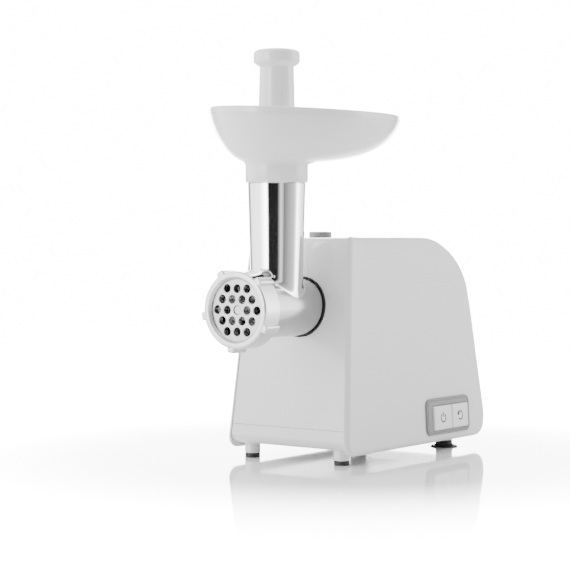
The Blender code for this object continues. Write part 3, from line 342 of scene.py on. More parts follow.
WHITE_GLOSS = textured("glossy white moulding", (0.80, 0.80, 0.795), vary=0.008, roughness=0.16,
                       rough_vary=0.03, scale=14, grain=260, bump=0.03, coat=0.35)
WHITE_SIDE = textured("white side moulding", (0.78, 0.78, 0.775), vary=0.010, roughness=0.30,
                      rough_vary=0.04, scale=12, grain=700, bump=0.05, coat=0.15, coat_roughness=0.12)
WHITE_SATIN = textured("satin white moulding", (0.82, 0.82, 0.81), vary=0.010, roughness=0.20,
                       rough_vary=0.04, scale=18, grain=700, bump=0.03, coat=0.25)
GREY = textured("grey moulding", (0.22, 0.225, 0.23), vary=0.04, roughness=0.42, scale=60, grain=2200,
                bump=0.18, depth=0.00008)
BLACK = textured("black moulding", (0.010, 0.010, 0.011), vary=0.10, roughness=0.45, scale=60, grain=1800,
                 bump=0.15)
RUBBER = textured("black rubber", (0.016, 0.016, 0.017), vary=0.15, roughness=0.60, scale=80, grain=2400,
                  bump=0.3, depth=0.0001)
POLISHED = textured("polished aluminium", (0.80, 0.80, 0.81), vary=0.02, roughness=0.07, rough_vary=0.03,
                    metallic=1.0, scale=22, grain=160, bump=0.04, depth=0.0002)
# Darker base colour than the tube's polished aluminium: painted shade standing in for the shaded surroundings
# the barrel mirrors; its higher roughness is its finish.
SHADE_DARKENED_METAL = textured("polished casting", (0.47, 0.47, 0.475), vary=0.03, roughness=0.17, rough_vary=0.04,
                        metallic=1.0, scale=30, grain=500, bump=0.06, depth=0.0001)
RING_SIDE = textured("polished ring side", (0.62, 0.62, 0.63), vary=0.02, roughness=0.13, rough_vary=0.04,
                     metallic=1.0, scale=30, grain=400, bump=0.05, depth=0.0001)
CAST = textured("satin casting", (0.66, 0.66, 0.665), vary=0.04, roughness=0.42, rough_vary=0.06,
                metallic=1.0, scale=70, grain=1500, bump=0.22, depth=0.00012)
STEEL = textured("ground steel", (0.50, 0.50, 0.51), vary=0.04, roughness=0.28, metallic=1.0, scale=60,
                 grain=1400, bump=0.1)
COPPER = textured("copper winding", (0.62, 0.28, 0.14), vary=0.12, roughness=0.35, metallic=1.0,
                  scale=300, grain=900, bump=0.5, depth=0.0003, stretch=(1, 0.1, 1))
NYLON = textured("natural nylon", (0.80, 0.78, 0.70), vary=0.02, roughness=0.5, grain=1200, bump=0.1)
IVORY = textured("inner moulding", (0.70, 0.70, 0.67), vary=0.02, roughness=0.5, grain=1200, bump=0.1)
BOARD = textured("circuit board", (0.03, 0.20, 0.08), vary=0.2, roughness=0.4, scale=220, grain=900, bump=0.2)
MARK = textured("dark print", (0.012, 0.012, 0.013), vary=0.05, roughness=0.5, grain=1500, bump=0.05)
PLATE_STEEL = ringed("turned plate steel", (0.50, 0.50, 0.495), (0, PLATE_LOW[1], AXIS_Z), 420,
                     vary=0.05, roughness=0.38, rough_vary=0.06, metallic=1.0, scale=120, grain=1600,
                     bump=0.2, depth=0.0001)


# ---- housing -------------------------------------------------------------------------------
def front_y(z):
    return (z - AXIS_Z) * FRONT_LEAN


def half_width(z):
    return BODY_HALF - SIDE_DRAFT * z


def body_outline(inset, bottom, fine=6):
    """Side view of the housing as (y, z), y from the port plane, drawn inset from the skin."""
    top = BODY_TOP - inset
    crown_z = BODY_TOP - CROWN_DROP
    crown_end = CROWN_START + CROWN_DEPTH - inset
    slope = BACK_REACH / (crown_z - BACK_FOOT_Z)
    low_front = (front_y(bottom) + inset, bottom)
    high_front = (front_y(top) + inset, top)
    back_foot = (crown_end + (crown_z - bottom) * slope, bottom)
    steps = 6 * fine
    crown = [(CROWN_START + (CROWN_DEPTH - inset) * sin(i * pi / 2 / steps),
              crown_z + (CROWN_DROP - inset) * cos(i * pi / 2 / steps)) for i in range(steps + 1)]
    return (fillet(low_front, back_foot, high_front, max(FRONT_CORNER - inset, 1 * MM), fine)
            + fillet(high_front, low_front, crown[0], max(TOP_CORNER - inset, 1 * MM), fine)
            + crown
            + fillet(back_foot, crown[-1], low_front, max(BACK_CORNER - inset, 1 * MM), fine * 2))


def spread(points, longest):
    """The same closed outline with long runs divided."""
    out = []
    for i, a in enumerate(points):
        b = points[(i + 1) % len(points)]
        out.append(a)
        parts = int(hypot(b[0] - a[0], b[1] - a[1]) / longest)
        out += [(a[0] + (b[0] - a[0]) * k / (parts + 1), a[1] + (b[1] - a[1]) * k / (parts + 1))
                for k in range(1, parts + 1)]
    return out


def outward(points):
    """Outward normals of a closed outline."""
    area = sum(a[0] * b[1] - b[0] * a[1] for a, b in zip(points, points[1:] + points[:1]))
    turn = 1 if area > 0 else -1
    normals = []
    for i in range(len(points)):
        a, b = Vector(points[i - 1]), Vector(points[(i + 1) % len(points)])
        run = (b - a).normalized()
        normals.append(Vector((run[1], -run[0])) * turn)
    return normals


def eased(value, low, high):
    t = min(1, max(0, (value - low) / (high - low)))
    return t * t * (3 - 2 * t)


def edge_round(y, z):
    """Reach of the side's rounded edge down the side, and its depth: wide on the top, tight in front."""
    top = eased(z, 120 * MM, 175 * MM) * eased(y, 4 * MM, 45 * MM)
    back = eased(y, 60 * MM, 170 * MM)
    low = eased(z, SIDE_BOTTOM, SIDE_BOTTOM + 16 * MM)
    reach = 4.0 + low * (1.2 + 12.0 * top + 4.5 * back)
    depth = 3.4 + low * (1.2 + 3.0 * top + 1.5 * back)
    return reach * MM, depth * MM


def body_solid(name, bottom):
    outline = spread(body_outline(0, bottom), 6 * MM)
    normals = outward(outline)
    steps = 8
    shape = [(1 - sin(k * pi / 2 / steps), 1 - cos(k * pi / 2 / steps)) for k in range(steps + 1)]
    shape.append((0, 1.2))

    def ring(side, back, inward):
        points = []
        for (y, z), normal in zip(outline, normals):
            reach, depth = edge_round(y, z)
            spot = Vector((y, z)) - normal * reach * inward
            points.append((BODY_X + side * (half_width(spot[1]) - depth * back), PORT_Y + spot[0], spot[1]))
        return points
    rings = [ring(-1, back, inward) for back, inward in reversed(shape)]
    rings += [ring(1, back, inward) for back, inward in shape]
    return loft(name, rings)


def drafted(name, trim, inset, bottom, fine=3):
    outline = body_outline(inset, bottom, fine)
    return loft(name, [[(BODY_X + side * (half_width(z) - trim), PORT_Y + y, z) for y, z in outline]
                       for side in (-1, 1)])


def side_slab(name, outline, low, high):
    """A slab on the right side, from low to high above the side's leaning surface."""
    return loft(name, [[(BODY_X + half_width(z) + height, PORT_Y + y, z) for y, z in outline]
                       for height in (low, high)])


def panel(low, size, radius, steps=6):
    y0, z0 = low
    y1, z1 = y0 + size[0], z0 + size[1]
    return rounded([(y1, z0, radius), (y1, z1, radius), (y0, z1, radius), (y0, z0, radius)], True, steps)


def y_rod(name, x, z, radius, start, end, steps=64):
    return turned(name, [(radius, start), (radius, end)], (x, 0, z), "Y", steps)


def z_rod(name, x, y, radius, start, end, steps=48):
    return turned(name, [(radius, start), (radius, end)], (x, y, 0), "Z", steps)


BEZEL_LOW, BEZEL_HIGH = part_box("control_bezel")
BEZEL_OUTLINE = ((BEZEL_LOW[1] - PORT_Y, BEZEL_LOW[2]),
                 (BEZEL_HIGH[1] - BEZEL_LOW[1], BEZEL_HIGH[2] - BEZEL_LOW[2]))


def housing():
    far = 0.4
    gland_low, gland_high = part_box("cord_gland")
    gland_x = (gland_low[0] + gland_high[0]) / 2
    gland_z = (gland_low[2] + gland_high[2]) / 2
    button_x = (BUTTON_LOW[0] + BUTTON_HIGH[0]) / 2
    button_y = (BUTTON_LOW[1] + BUTTON_HIGH[1]) / 2

    shell = body_solid("housing_shell_fine", BODY_BOTTOM)
    boolean(shell, [drafted("core", COVER_T + SEAM / 2, COVER_PROUD, -20 * MM, 6)], "INTERSECT")
    base = link(shell.copy())
    base.data = shell.data.copy()
    base.name = "base_cover_fine"
    boolean(shell, [
        block("below", (-far, -far, -far), (far, far, SEAM_Z + SEAM / 2)),
        drafted("room", COVER_T + WALL, COVER_PROUD + WALL, BODY_BOTTOM - 10 * MM),
        y_rod("port", 0, AXIS_Z, PORT_R, PORT_Y - 0.05, PORT_Y + 0.03, 128),
        z_rod("button_hole", button_x, button_y, (BUTTON_HIGH[0] - BUTTON_LOW[0]) / 2 + 0.3 * MM,
              BODY_TOP - 0.01, BODY_TOP + 0.01, 96),
        y_rod("gland_hole", gland_x, gland_z, 6.3 * MM, gland_low[1], gland_high[1] + 0.01),
    ], "DIFFERENCE")
    soften(shell, 0.5 * MM)
    finish_piece(shell, "base", "white_gloss", WHITE_GLOSS, "housing_shell")

    boolean(base, [
        block("above", (-far, -far, SEAM_Z - SEAM / 2), (far, far, far)),
        drafted("base_room", COVER_T + WALL, COVER_PROUD + WALL, BODY_BOTTOM + WALL),
    ], "DIFFERENCE")
    posts = []
    for side in ("left", "right"):
        for foot, radius in ((f"front_foot_pad_{side}", 6.4 * MM), (f"suction_foot_{side}", 7.2 * MM)):
            low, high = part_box(foot)
            x, y = (low[0] + high[0]) / 2, (low[1] + high[1]) / 2
            posts.append(turned("post", rounded([
                (0, high[2] + 0.3 * MM, 0), (radius, high[2] + 0.3 * MM, 0.6 * MM),
                (radius, BODY_BOTTOM + 1 * MM, 0), (0, BODY_BOTTOM + 1 * MM, 0)]), (x, y, 0), "Z", 64))
    boolean(base, posts, "UNION")
    holes = []
    for i in range(4):
        low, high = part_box(f"base_screw_{i + 1}")
        x, y = (low[0] + high[0]) / 2, (low[1] + high[1]) / 2
        holes.append(z_rod("screw_hole", x, y, 3.4 * MM, 0, BODY_BOTTOM + 1.3 * MM, 32))
        holes.append(z_rod("screw_bore", x, y, 1.8 * MM, 0, BODY_BOTTOM + 6 * MM, 24))
    vents = [block("vent", (BODY_X - 20 * MM, y, 0), (BODY_X + 20 * MM, y + 3.5 * MM, 20 * MM))
             for y in (PORT_Y + (96 + 9 * i) * MM for i in range(5))]
    boolean(base, holes + vents, "DIFFERENCE")
    soften(base, 0.4 * MM)
    finish_piece(base, "base", "white_gloss", WHITE_GLOSS, "base_cover")

    for side, name in ((-1, "left_side_cover"), (1, "right_side_cover")):
        cover = body_solid(name + "_fine", SIDE_BOTTOM)
        edges = sorted((BODY_X, -side * far))
        cuts = [drafted("core_wide", COVER_T - SEAM / 2, -6 * MM, -20 * MM),
                block("other_half", (edges[0], -far, -far), (edges[1], far, far))]
        if side > 0:
            low, size = BEZEL_OUTLINE
            gap = 0.25 * MM
            hole = panel((low[0] - gap, low[1] - gap), (size[0] + 2 * gap, size[1] + 2 * gap), 6 * MM)
            cuts.append(side_slab("bezel_hole", hole, -COVER_T * 2, COVER_T))
        boolean(cover, cuts, "DIFFERENCE")
        soften(cover, 0.45 * MM)
        finish_piece(cover, "base", "white_gloss", WHITE_SIDE, name)


def port_liner():
    """The black sleeve round the barrel, with a rounded rim that stands a little out of the shell."""
    outside = PORT_R - 0.25 * MM
    thick = outside - LINER_BORE
    liner = turned("port_liner_fine", [
        (outside, -20 * MM), (outside, NECK_BACK + 3 * MM), (LINER_BORE, NECK_BACK + 3 * MM),
        (LINER_BORE, -20 * MM)],
        (0, PORT_Y, AXIS_Z), "Y", 128, closed=True)
    boolean(liner, [drafted("liner_trim", 0, COVER_PROUD - LINER_PROUD, BODY_BOTTOM)], "INTERSECT")
    soften(liner, thick * 0.3, 2)
    finish_piece(liner, "base", "black_plastic", BLACK, "port_liner")


# ---- controls ----------------------------------------------------------------------------------
def controls():
    low, size = BEZEL_OUTLINE
    proud = 1.5 * MM
    bezel = side_slab("control_bezel_fine", panel(low, size, 6 * MM, 10), -COVER_T, proud)
    keys = [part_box("on_off_button"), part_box("reverse_button")]
    keys_low = (keys[0][0][1] - PORT_Y, keys[0][0][2])
    keys_size = (keys[1][1][1] - keys[0][0][1], keys[0][1][2] - keys[0][0][2])
    gap = 0.35 * MM
    hole = panel((keys_low[0] - gap, keys_low[1] - gap), (keys_size[0] + 2 * gap, keys_size[1] + 2 * gap),
                 1.6 * MM, 4)
    groove = panel((low[0] + 1.6 * MM, low[1] + 1.4 * MM), (size[0] - 3.2 * MM, size[1] - 2.8 * MM),
                   4.8 * MM, 10)
    inner = panel((low[0] + 2.3 * MM, low[1] + 2.1 * MM), (size[0] - 4.6 * MM, size[1] - 4.2 * MM),
                  4.1 * MM, 10)
    trench = side_slab("groove", groove, proud - 0.5 * MM, proud + 1 * MM)
    boolean(trench, [side_slab("groove_core", inner, 0, proud + 2 * MM)], "DIFFERENCE")
    boolean(bezel, [side_slab("keys_hole", hole, -COVER_T * 2, COVER_T), trench], "DIFFERENCE")
    soften(bezel, 0.35 * MM, 3)
    finish_piece(bezel, "base", "grey_plastic", GREY, "control_bezel")
    for node, draw in (("on_off_button", power_mark), ("reverse_button", reverse_mark)):
        key(node, draw)


def key(node, draw):
    low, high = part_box(node)
    outline = panel((low[1] - PORT_Y, low[2]), (high[1] - low[1], high[2] - low[2]), 1.4 * MM, 5)
    middle = (sum(p[0] for p in outline) / len(outline), (low[2] + high[2]) / 2)
    rings = []
    for inward, height in ((0, -5.0), (0, 1.9), (0.25, 2.45), (0.7, 2.85), (1.4, 3.0), (4.0, 2.9),
                           (7.0, 2.82)):
        ring = []
        for y, z in outline:
            dy, dz = y - middle[0], z - middle[1]
            half_y, half_z = (high[1] - low[1]) / 2, (high[2] - low[2]) / 2
            y = middle[0] + dy * (1 - inward * MM / half_y)
            z = middle[1] + dz * (1 - inward * MM / half_z)
            ring.append((BODY_X + half_width(z) + height * MM, PORT_Y + y, z))
        rings.append(ring)
    cap = loft(node + "_fine", rings, sharp=50)
    weighted(cap)
    stem = panel((middle[0] - 4 * MM, middle[1] - 3 * MM), (8 * MM, 6 * MM), 0.5 * MM, 2)
    boolean(cap, [side_slab("stem", stem, -8 * MM, 0)], "UNION")
    finish_piece(cap, node, "white_satin", WHITE_SATIN, node)
    for piece in draw(node, (BODY_X + half_width(middle[1]) + 2.80 * MM, PORT_Y + middle[0], middle[1])):
        finish_piece(piece, node, "grey_plastic", MARK)


def face_matrix(place):
    """From a drawing's x (rightwards) and y (upwards) to the right side's leaning surface."""
    lean = atan2(SIDE_DRAFT, 1)
    right, up = Vector((0, 1, 0)), Vector((-sin(lean), 0, cos(lean)))
    normal = right.cross(up)
    turn = Matrix((right, up, normal)).transposed().to_4x4()
    return Matrix.Translation(Vector(place)) @ turn


def stroke(name, points, width, place, thickness=0.12 * MM):
    """A flat printed line of even width along points, on the key's face."""
    points = [Vector(p) for p in points]
    left, right = [], []
    for i, p in enumerate(points):
        run = (points[min(i + 1, len(points) - 1)] - points[max(i - 1, 0)]).normalized()
        side = Vector((-run[1], run[0])) * width / 2
        left.append(p + side)
        right.append(p - side)
    flat = left + right[::-1]
    rings = [[(x, y, z) for x, y in flat] for z in (0, thickness)]
    obj = loft(name, rings)
    obj.data.transform(face_matrix(place))
    return obj


def power_mark(node, place):
    radius, width = 3.7 * MM, 1.15 * MM
    arc = [(radius * sin(a), radius * cos(a)) for a in
           (radians(38 + (322 - 38) * i / 40) for i in range(41))]
    return [stroke(node + "_ring", arc, width, place),
            stroke(node + "_bar", [(0, 0.6 * MM), (0, 4.9 * MM)], width, place)]


def reverse_mark(node, place):
    """A generic turning-back arrow."""
    radius, width = 3.6 * MM, 1.15 * MM
    arc = [(radius * sin(a), radius * cos(a)) for a in
           (radians(-62 + (235 + 62) * i / 40) for i in range(41))]
    tip = [(-5.4 * MM, 0.2 * MM), (-1.2 * MM, 0.9 * MM), (-3.7 * MM, 4.3 * MM)]
    rings = [[(x, y, z) for x, y in tip] for z in (0, 0.12 * MM)]
    head = loft(node + "_arrowhead", rings)
    head.data.transform(face_matrix(place))
    return [stroke(node + "_arc", arc, width, place), head]


def release_button():
    x, y = (BUTTON_LOW[0] + BUTTON_HIGH[0]) / 2, (BUTTON_LOW[1] + BUTTON_HIGH[1]) / 2
    radius = (BUTTON_HIGH[0] - BUTTON_LOW[0]) / 2
    low, top = BUTTON_LOW[2], BUTTON_HIGH[2]
    flutes = 28

    def fluted(angle):
        return 1 - 0.016 * (0.5 + 0.5 * cos(flutes * angle)) ** 2
    profile = rounded([
        (0, top - 0.35 * MM, 0), (radius - 3.2 * MM, top - 0.35 * MM, 1 * MM),
        (radius - 2.2 * MM, top, 0.5 * MM),
        (radius, top, 0.9 * MM), (radius, low + 4 * MM, 0), (radius - 2 * MM, low + 4 * MM, 0.3 * MM),
        (radius - 2 * MM, BODY_TOP, 0), (0, BODY_TOP, 0)])
    button = turned("release_button_fine", profile, (x, y, 0), "Z", flutes * 8, flute=fluted, sharp=45)
    finish_piece(button, "release_button", "grey_plastic", GREY, "release_button")


# ---- feet ------------------------------------------------------------------------------------------
def feet():
    for side in ("left", "right"):
        low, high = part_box(f"front_foot_pad_{side}")
        x, y, radius = (low[0] + high[0]) / 2, (low[1] + high[1]) / 2, (high[0] - low[0]) / 2
        pad = turned(f"front_foot_pad_{side}_fine", rounded([
            (0, 0.3 * MM, 0), (radius - 2.5 * MM, 0.3 * MM, 0.3 * MM), (radius - 2 * MM, 0, 0.2 * MM),
            (radius, 0, 0.5 * MM), (radius, high[2], 0.3 * MM), (0, high[2], 0)]), (x, y, 0), "Z", 64)
        finish_piece(pad, "base", "black_rubber", RUBBER, f"front_foot_pad_{side}")
        low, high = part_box(f"suction_foot_{side}")
        x, y, radius = (low[0] + high[0]) / 2, (low[1] + high[1]) / 2, (high[0] - low[0]) / 2
        cup = turned(f"suction_foot_{side}_fine", rounded([
            (0, 2.0 * MM, 0), (3 * MM, 2.0 * MM, 1 * MM), (8.5 * MM, 0.3 * MM, 1 * MM),
            (radius - 1.2 * MM, 0, 0.3 * MM),
            (radius, 0, 0.3 * MM), (radius, 0.8 * MM, 0.3 * MM), (8.6 * MM, 1.7 * MM, 1.5 * MM),
            (7.2 * MM, 2.6 * MM, 0.8 * MM), (7.2 * MM, high[2], 0.4 * MM), (0, high[2], 0)]),
            (x, y, 0), "Z", 96)
        finish_piece(cup, "base", "black_rubber", RUBBER, f"suction_foot_{side}")


# ---- grinding head -----------------------------------------------------------------------------------
def tube_radius(z):
    return TUBE_LOW_R + (TUBE_TOP_R - TUBE_LOW_R) * (z - AXIS_Z) / (TUBE_TOP - AXIS_Z)


def saddle(radius, angle, sink=0.0):
    """Height of the barrel's surface at a distance from the tube's axis."""
    across = min(radius * abs(cos(angle)), BARREL_R - 0.5 * MM)
    return AXIS_Z + (BARREL_R ** 2 - across ** 2) ** 0.5 - sink


def tube_skin(around=192):
    """The feed tube with its spigot, its foot flared onto the barrel the way a casting blends."""
    flare, rise, wall = 2.2 * MM, 5.0 * MM, 2.0 * MM

    def ring(place):
        points = []
        for i in range(around):
            angle = 2 * pi * i / around
            r, z = place(angle)
            points.append((r * cos(angle), TUBE_Y + r * sin(angle), z))
        return points

    def foot(t):
        def place(angle):
            low = tube_radius(saddle(TUBE_LOW_R, angle))
            z1 = saddle(low, angle)
            r0, z0 = tube_radius(z1 + rise), z1 + rise
            r2, z2 = low + flare, saddle(low + flare, angle)
            a, b, c = (1 - t) ** 2, 2 * t * (1 - t), t * t
            return a * r0 + b * low + c * r2, a * z0 + b * z1 + c * z2
        return place
    top = HEAD_HIGH[2]
    rings = [ring(lambda angle: (tube_radius(AXIS_Z) - wall, saddle(TUBE_LOW_R, angle, 6 * MM)))]
    for r, z in ((tube_radius(TUBE_TOP) - wall - 0.7 * MM, TUBE_TOP), (SPIGOT_R - wall, top - 0.5 * MM),
                 (SPIGOT_R - wall + 0.5 * MM, top), (SPIGOT_R - 0.5 * MM, top), (SPIGOT_R, top - 0.5 * MM),
                 (SPIGOT_R, TUBE_TOP), (TUBE_TOP_R - 0.5 * MM, TUBE_TOP), (TUBE_TOP_R, TUBE_TOP - 0.5 * MM)):
        rings.append(ring(lambda angle, r=r, z=z: (r, z)))
    for t in (0.25, 0.5, 0.75):
        rings.append(ring(lambda angle, t=t: (
            tube_radius(TUBE_TOP + (saddle(TUBE_LOW_R, angle) + rise - TUBE_TOP) * t),
            TUBE_TOP + (saddle(TUBE_LOW_R, angle) + rise - TUBE_TOP) * t)))
    rings += [ring(foot(t / 8)) for t in range(9)]
    rings.append(ring(lambda angle: (TUBE_LOW_R + flare, saddle(TUBE_LOW_R + flare, angle, 2 * MM))))
    return loft("feed_tube_fine", rings, closed=True, sharp=40)


def head():
    """Barrel and polished feed tube, with the wedge cast between the tube and the mouth."""
    front, back = HEAD_LOW[1] - PORT_Y, HEAD_HIGH[1] - PORT_Y
    step = front + 14 * MM
    axis = (0, PORT_Y, AXIS_Z)
    barrel = turned("barrel_fine", rounded([
        (0, front, 0), (MOUTH_R, front, 0.5 * MM), (MOUTH_R, step, 1.2 * MM),
        (BARREL_R + 1.6 * MM, step + 2.5 * MM, 2 * MM),
        (BARREL_R, step + 7 * MM, 6 * MM), (BARREL_R, NECK_BACK, 0.4 * MM), (NECK_R, NECK_BACK, 0.4 * MM),
        (NECK_R, back, 0.4 * MM), (0, back, 0)]), axis, "Y", 160)
    wedge = loft("wedge", [[(x, y, AXIS_Z + z) for x, z in (
        (left, 8 * MM), (right, 8 * MM), (right - 1.5 * MM, top), (left + 1.5 * MM, top))]
        for y, left, right, top in ((RING_HIGH[1] - 3 * MM, -15 * MM, 17.5 * MM, 23.8 * MM),
                                    (RING_HIGH[1] + 5 * MM, -14 * MM, 17.0 * MM, 22.6 * MM),
                                    (TUBE_Y + 2 * MM, -8 * MM, 13 * MM, 16.0 * MM))])
    lugs = []
    for side in (-1, 1):
        near, far = sorted((side * LUG_IN, side * LUG_OUT))
        lugs.append(block(f"bayonet_{side}", (near, PORT_Y + back - 4 * MM, AXIS_Z - 5 * MM),
                          (far, PORT_Y + back, AXIS_Z + 5 * MM)))
    boolean(barrel, [wedge] + lugs, "UNION")
    bore_end = back - 8 * MM
    knife_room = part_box("auger")[0][1] - PORT_Y + 13 * MM
    boolean(barrel, [
        turned("bore", [(0, front - 0.01), (MOUTH_BORE, front - 0.01), (MOUTH_BORE, knife_room),
                        (BARREL_BORE, knife_room), (BARREL_BORE, bore_end), (7 * MM, bore_end),
                        (7 * MM, back + 0.01), (0, back + 0.01)], axis, "Y", 128),
        turned("throat", [(0, TUBE_TOP), (tube_radius(TUBE_TOP) - 2 * MM, TUBE_TOP),
                          (tube_radius(AXIS_Z) - 2 * MM, AXIS_Z), (0, AXIS_Z)], (0, TUBE_Y, 0), "Z", 128),
    ], "DIFFERENCE")
    soften(barrel, 0.7 * MM, 3, 35)
    # The barrel wears the darkened copy of the polished aluminium, with its painted shade.
    finish_piece(barrel, "head", "polished_aluminium", SHADE_DARKENED_METAL, "head_casting")
    finish_piece(tube_skin(), "head", "polished_aluminium", POLISHED)


RING_TURN = radians(45.6)
RING_LUGS = 5


def fixing_ring():
    radius, lip, opening = 30.8 * MM, 3.2 * MM, 24.3 * MM
    depth = RING_HIGH[1] - RING_LOW[1]
    bore = MOUTH_R + 0.3 * MM
    ring = turned("fixing_ring_fine", rounded([
        (opening, 2.2 * MM, 0.4 * MM), (opening + 1.6 * MM, 0, 1.2 * MM), (radius - 0.3 * MM, 0, 2.0 * MM),
        (radius, depth, 0.8 * MM), (bore, depth, 0.5 * MM), (bore, lip, 0), (opening, lip, 0)], True),
        (0, RING_LOW[1], AXIS_Z), "Y", 160, closed=True)
    lugs = []
    for i in range(RING_LUGS):
        lug = block(f"ring_lug_{i}", (radius - 2.4 * MM, 0.5 * MM, -4.2 * MM),
                    (33.9 * MM, depth - 0.5 * MM, 4.2 * MM), 1.7 * MM, 4)
        for vertex in lug.data.vertices:
            vertex.co.z *= 1 - 0.28 * (vertex.co.x - radius + 2.4 * MM) / (5.5 * MM)
        lug.data.transform(Matrix.Translation((0, RING_LOW[1], AXIS_Z))
                           @ Matrix.Rotation(-RING_TURN - 2 * pi * i / RING_LUGS, 4, "Y"))
        lugs.append(lug)
    boolean(ring, lugs, "UNION")
    soften(ring, 0.6 * MM, 3, 32)
    finish_piece(ring, "ring", "satin_aluminium", CAST, "fixing_ring")
    ring.data.materials.append(RING_SIDE)
    for face in ring.data.polygons:
        outwards = hypot(face.center.x, face.center.z - AXIS_Z) > 29.9 * MM
        face.material_index = int(outwards and face.normal.y > -0.55)


def plate_holes(pitch):
    rise = pitch * 3 ** 0.5 / 2
    for row in range(-2, 3):
        count = 5 - abs(row)
        for i in range(count):
            x = (i - (count - 1) / 2) * pitch
            if row or abs(x) > 0.1 * pitch:
                yield x, row * rise


def cutting_plate():
    front, back = PLATE_LOW[1], PLATE_HIGH[1]
    radius = (PLATE_HIGH[0] - PLATE_LOW[0]) / 2
    plate = turned("cutting_plate_fine", rounded([
        (3.6 * MM, front, 0.4 * MM), (radius, front, 0.4 * MM), (radius, back, 0.4 * MM),
        (3.6 * MM, back, 0)], True),
        (0, 0, AXIS_Z), "Y", 128, closed=True)
    hole_r, chamfer = 3.35 * MM, 0.35 * MM
    holes = [turned("hole", [(hole_r + chamfer + 0.5 * MM, front - 0.5 * MM), (hole_r, front + chamfer),
                             (hole_r, back + 2 * MM)], (x, 0, AXIS_Z + z), "Y", 40)
             for x, z in plate_holes(9.7 * MM)]
    boolean(plate, holes, "DIFFERENCE")
    notch = block("notch", (-1.9 * MM, front - 0.01, AXIS_Z - radius - 0.01),
                  (1.9 * MM, back + 0.01, AXIS_Z - radius + 2.1 * MM))
    boolean(plate, [notch], "DIFFERENCE")
    plate.data.set_sharp_from_angle(angle=radians(30))
    finish_piece(plate, "plate", "steel", PLATE_STEEL, "cutting_plate")


# ---- tray and pusher -----------------------------------------------------------------------------------
def bowl_ring(spread_by, height, inward, around=144):
    """A section of the bowl; spread_by runs from a third at the collar to 1 at the rim."""
    low = 1 / 3
    grown = (spread_by - low) / (1 - low)
    half_x = COLLAR_R + (TRAY_HIGH[0] - COLLAR_R) * grown - inward
    half_y = COLLAR_R + ((TRAY_HIGH[1] - TRAY_LOW[1]) / 2 - COLLAR_R) * grown - inward
    rim_shift = (TRAY_HIGH[1] + TRAY_LOW[1]) / 2 - TUBE_Y
    shift = rim_shift * (1 - ((1 - spread_by) / (1 - low)) ** 1.25)
    ring = []
    for i in range(around):
        x, y = half_x * cos(2 * pi * i / around), half_y * sin(2 * pi * i / around)
        ring.append((x, TUBE_Y + shift + y, height - TRAY_TILT * grown * x))
    return ring


def tray():
    """The bowl, its thin rolled rim and its collar, as one closed skin."""
    wall = 2.0 * MM
    bottom, rim = TRAY_LOW[2], TRAY_HIGH[2] - TRAY_TILT * TRAY_HIGH[0]
    floor = bottom + COLLAR_H
    depth = rim - floor
    spreads = [1 / 3 + 2 / 3 * (1 - (1 - i / 22) ** 1.7) for i in range(1, 22)] + [1.0]
    outer = [(1 / 3, bottom + 0.4 * MM, 0.4 * MM), (1 / 3, bottom + 1.2 * MM, 0), (1 / 3, floor - 3 * MM, 0),
             (1 / 3, floor - 1.2 * MM, -0.15 * MM)]
    outer += [(s, floor + depth * (1 - (1 - s ** 3) ** 0.55), 0) for s in spreads[:-1]]
    outer += [(1.0, rim - 5 * MM, 0.05 * MM), (1.0, rim - 1.2 * MM, 0), (1.0, rim - 0.35 * MM, 0.3 * MM),
              (1.0, rim, 1.0 * MM)]
    inner = [(1.0, rim, 1.5 * MM), (1.0, rim - 0.35 * MM, 2.1 * MM), (1.0, rim - 1.2 * MM, 2.4 * MM),
             (1.0, rim - 5 * MM, wall + 0.35 * MM)]
    inner += [(s, floor + wall * 0.9 + (depth - wall) * (1 - (1 - s ** 3) ** 0.55), wall)
              for s in reversed(spreads[:-1])]
    inner += [(1 / 3, floor + 0.6 * MM, wall), (1 / 3, floor - 1.5 * MM, wall + 0.1 * MM),
              (1 / 3, bottom + 0.5 * MM, wall),
              (1 / 3, bottom, wall - 0.5 * MM), (1 / 3, bottom, 0.9 * MM)]
    rings = [bowl_ring(*section) for section in outer + inner]
    bowl = loft("tray_fine", rings, closed=True, sharp=60)
    finish_piece(bowl, "tray", "white_satin", WHITE_SATIN, "tray")


def pusher():
    top, low = PUSHER_HIGH[2], PUSHER_LOW[2]
    knob_r, neck_r, low_r = 18.5 * MM, 13.7 * MM, 17.6 * MM
    knob_low = top - 12.9 * MM
    stick = turned("pusher_fine", rounded([
        (0, top - 0.5 * MM, 0), (10 * MM, top - 0.4 * MM, 6 * MM), (15.2 * MM, top, 2.4 * MM),
        (knob_r, top - 1.6 * MM, 3.6 * MM), (knob_r + 0.2 * MM, top - 10.6 * MM, 3.6 * MM),
        (15.5 * MM, knob_low, 2.0 * MM), (neck_r, knob_low - 0.6 * MM, 1.4 * MM),
        (low_r, low + 1 * MM, 1 * MM), (low_r - 1 * MM, low, 0.6 * MM), (0, low, 0)], steps=8),
        (0, TUBE_Y, 0), "Z", 128)
    finish_piece(stick, "pusher", "white_satin", WHITE_SATIN, "pusher")


# ---- the pieces that keep their CAD shape -----------------------------------------------------------------
def kept_nodes():
    looks = {"white_gloss": WHITE_GLOSS, "white_satin": WHITE_SATIN, "grey_plastic": GREY,
             "black_plastic": BLACK, "black_rubber": RUBBER, "ivory_plastic": IVORY, "nylon": NYLON,
             # kept polished aluminium nodes share the darkened copy, with its painted shade
             "polished_aluminium": SHADE_DARKENED_METAL,
             "satin_aluminium": CAST, "steel": STEEL, "copper": COPPER, "circuit_board": BOARD}
    slots = {part["node"]: part["material_slot"] for part in frame["record"]["subparts"]}
    for name, obj in frame["nodes"].items():
        obj.data.materials.clear()
        obj.data.materials.append(looks[slots[name]])


# ---- studio ------------------------------------------------------------------------------------------------
CAMERA_AT = (0.84012, -1.21693, 0.18397)
CAMERA_TURN = 36.51            # degrees from looking along +Y
CAMERA_DIP = 1.585             # degrees below the horizon
LENS = 110.83                  # mm, on a 36 mm sensor


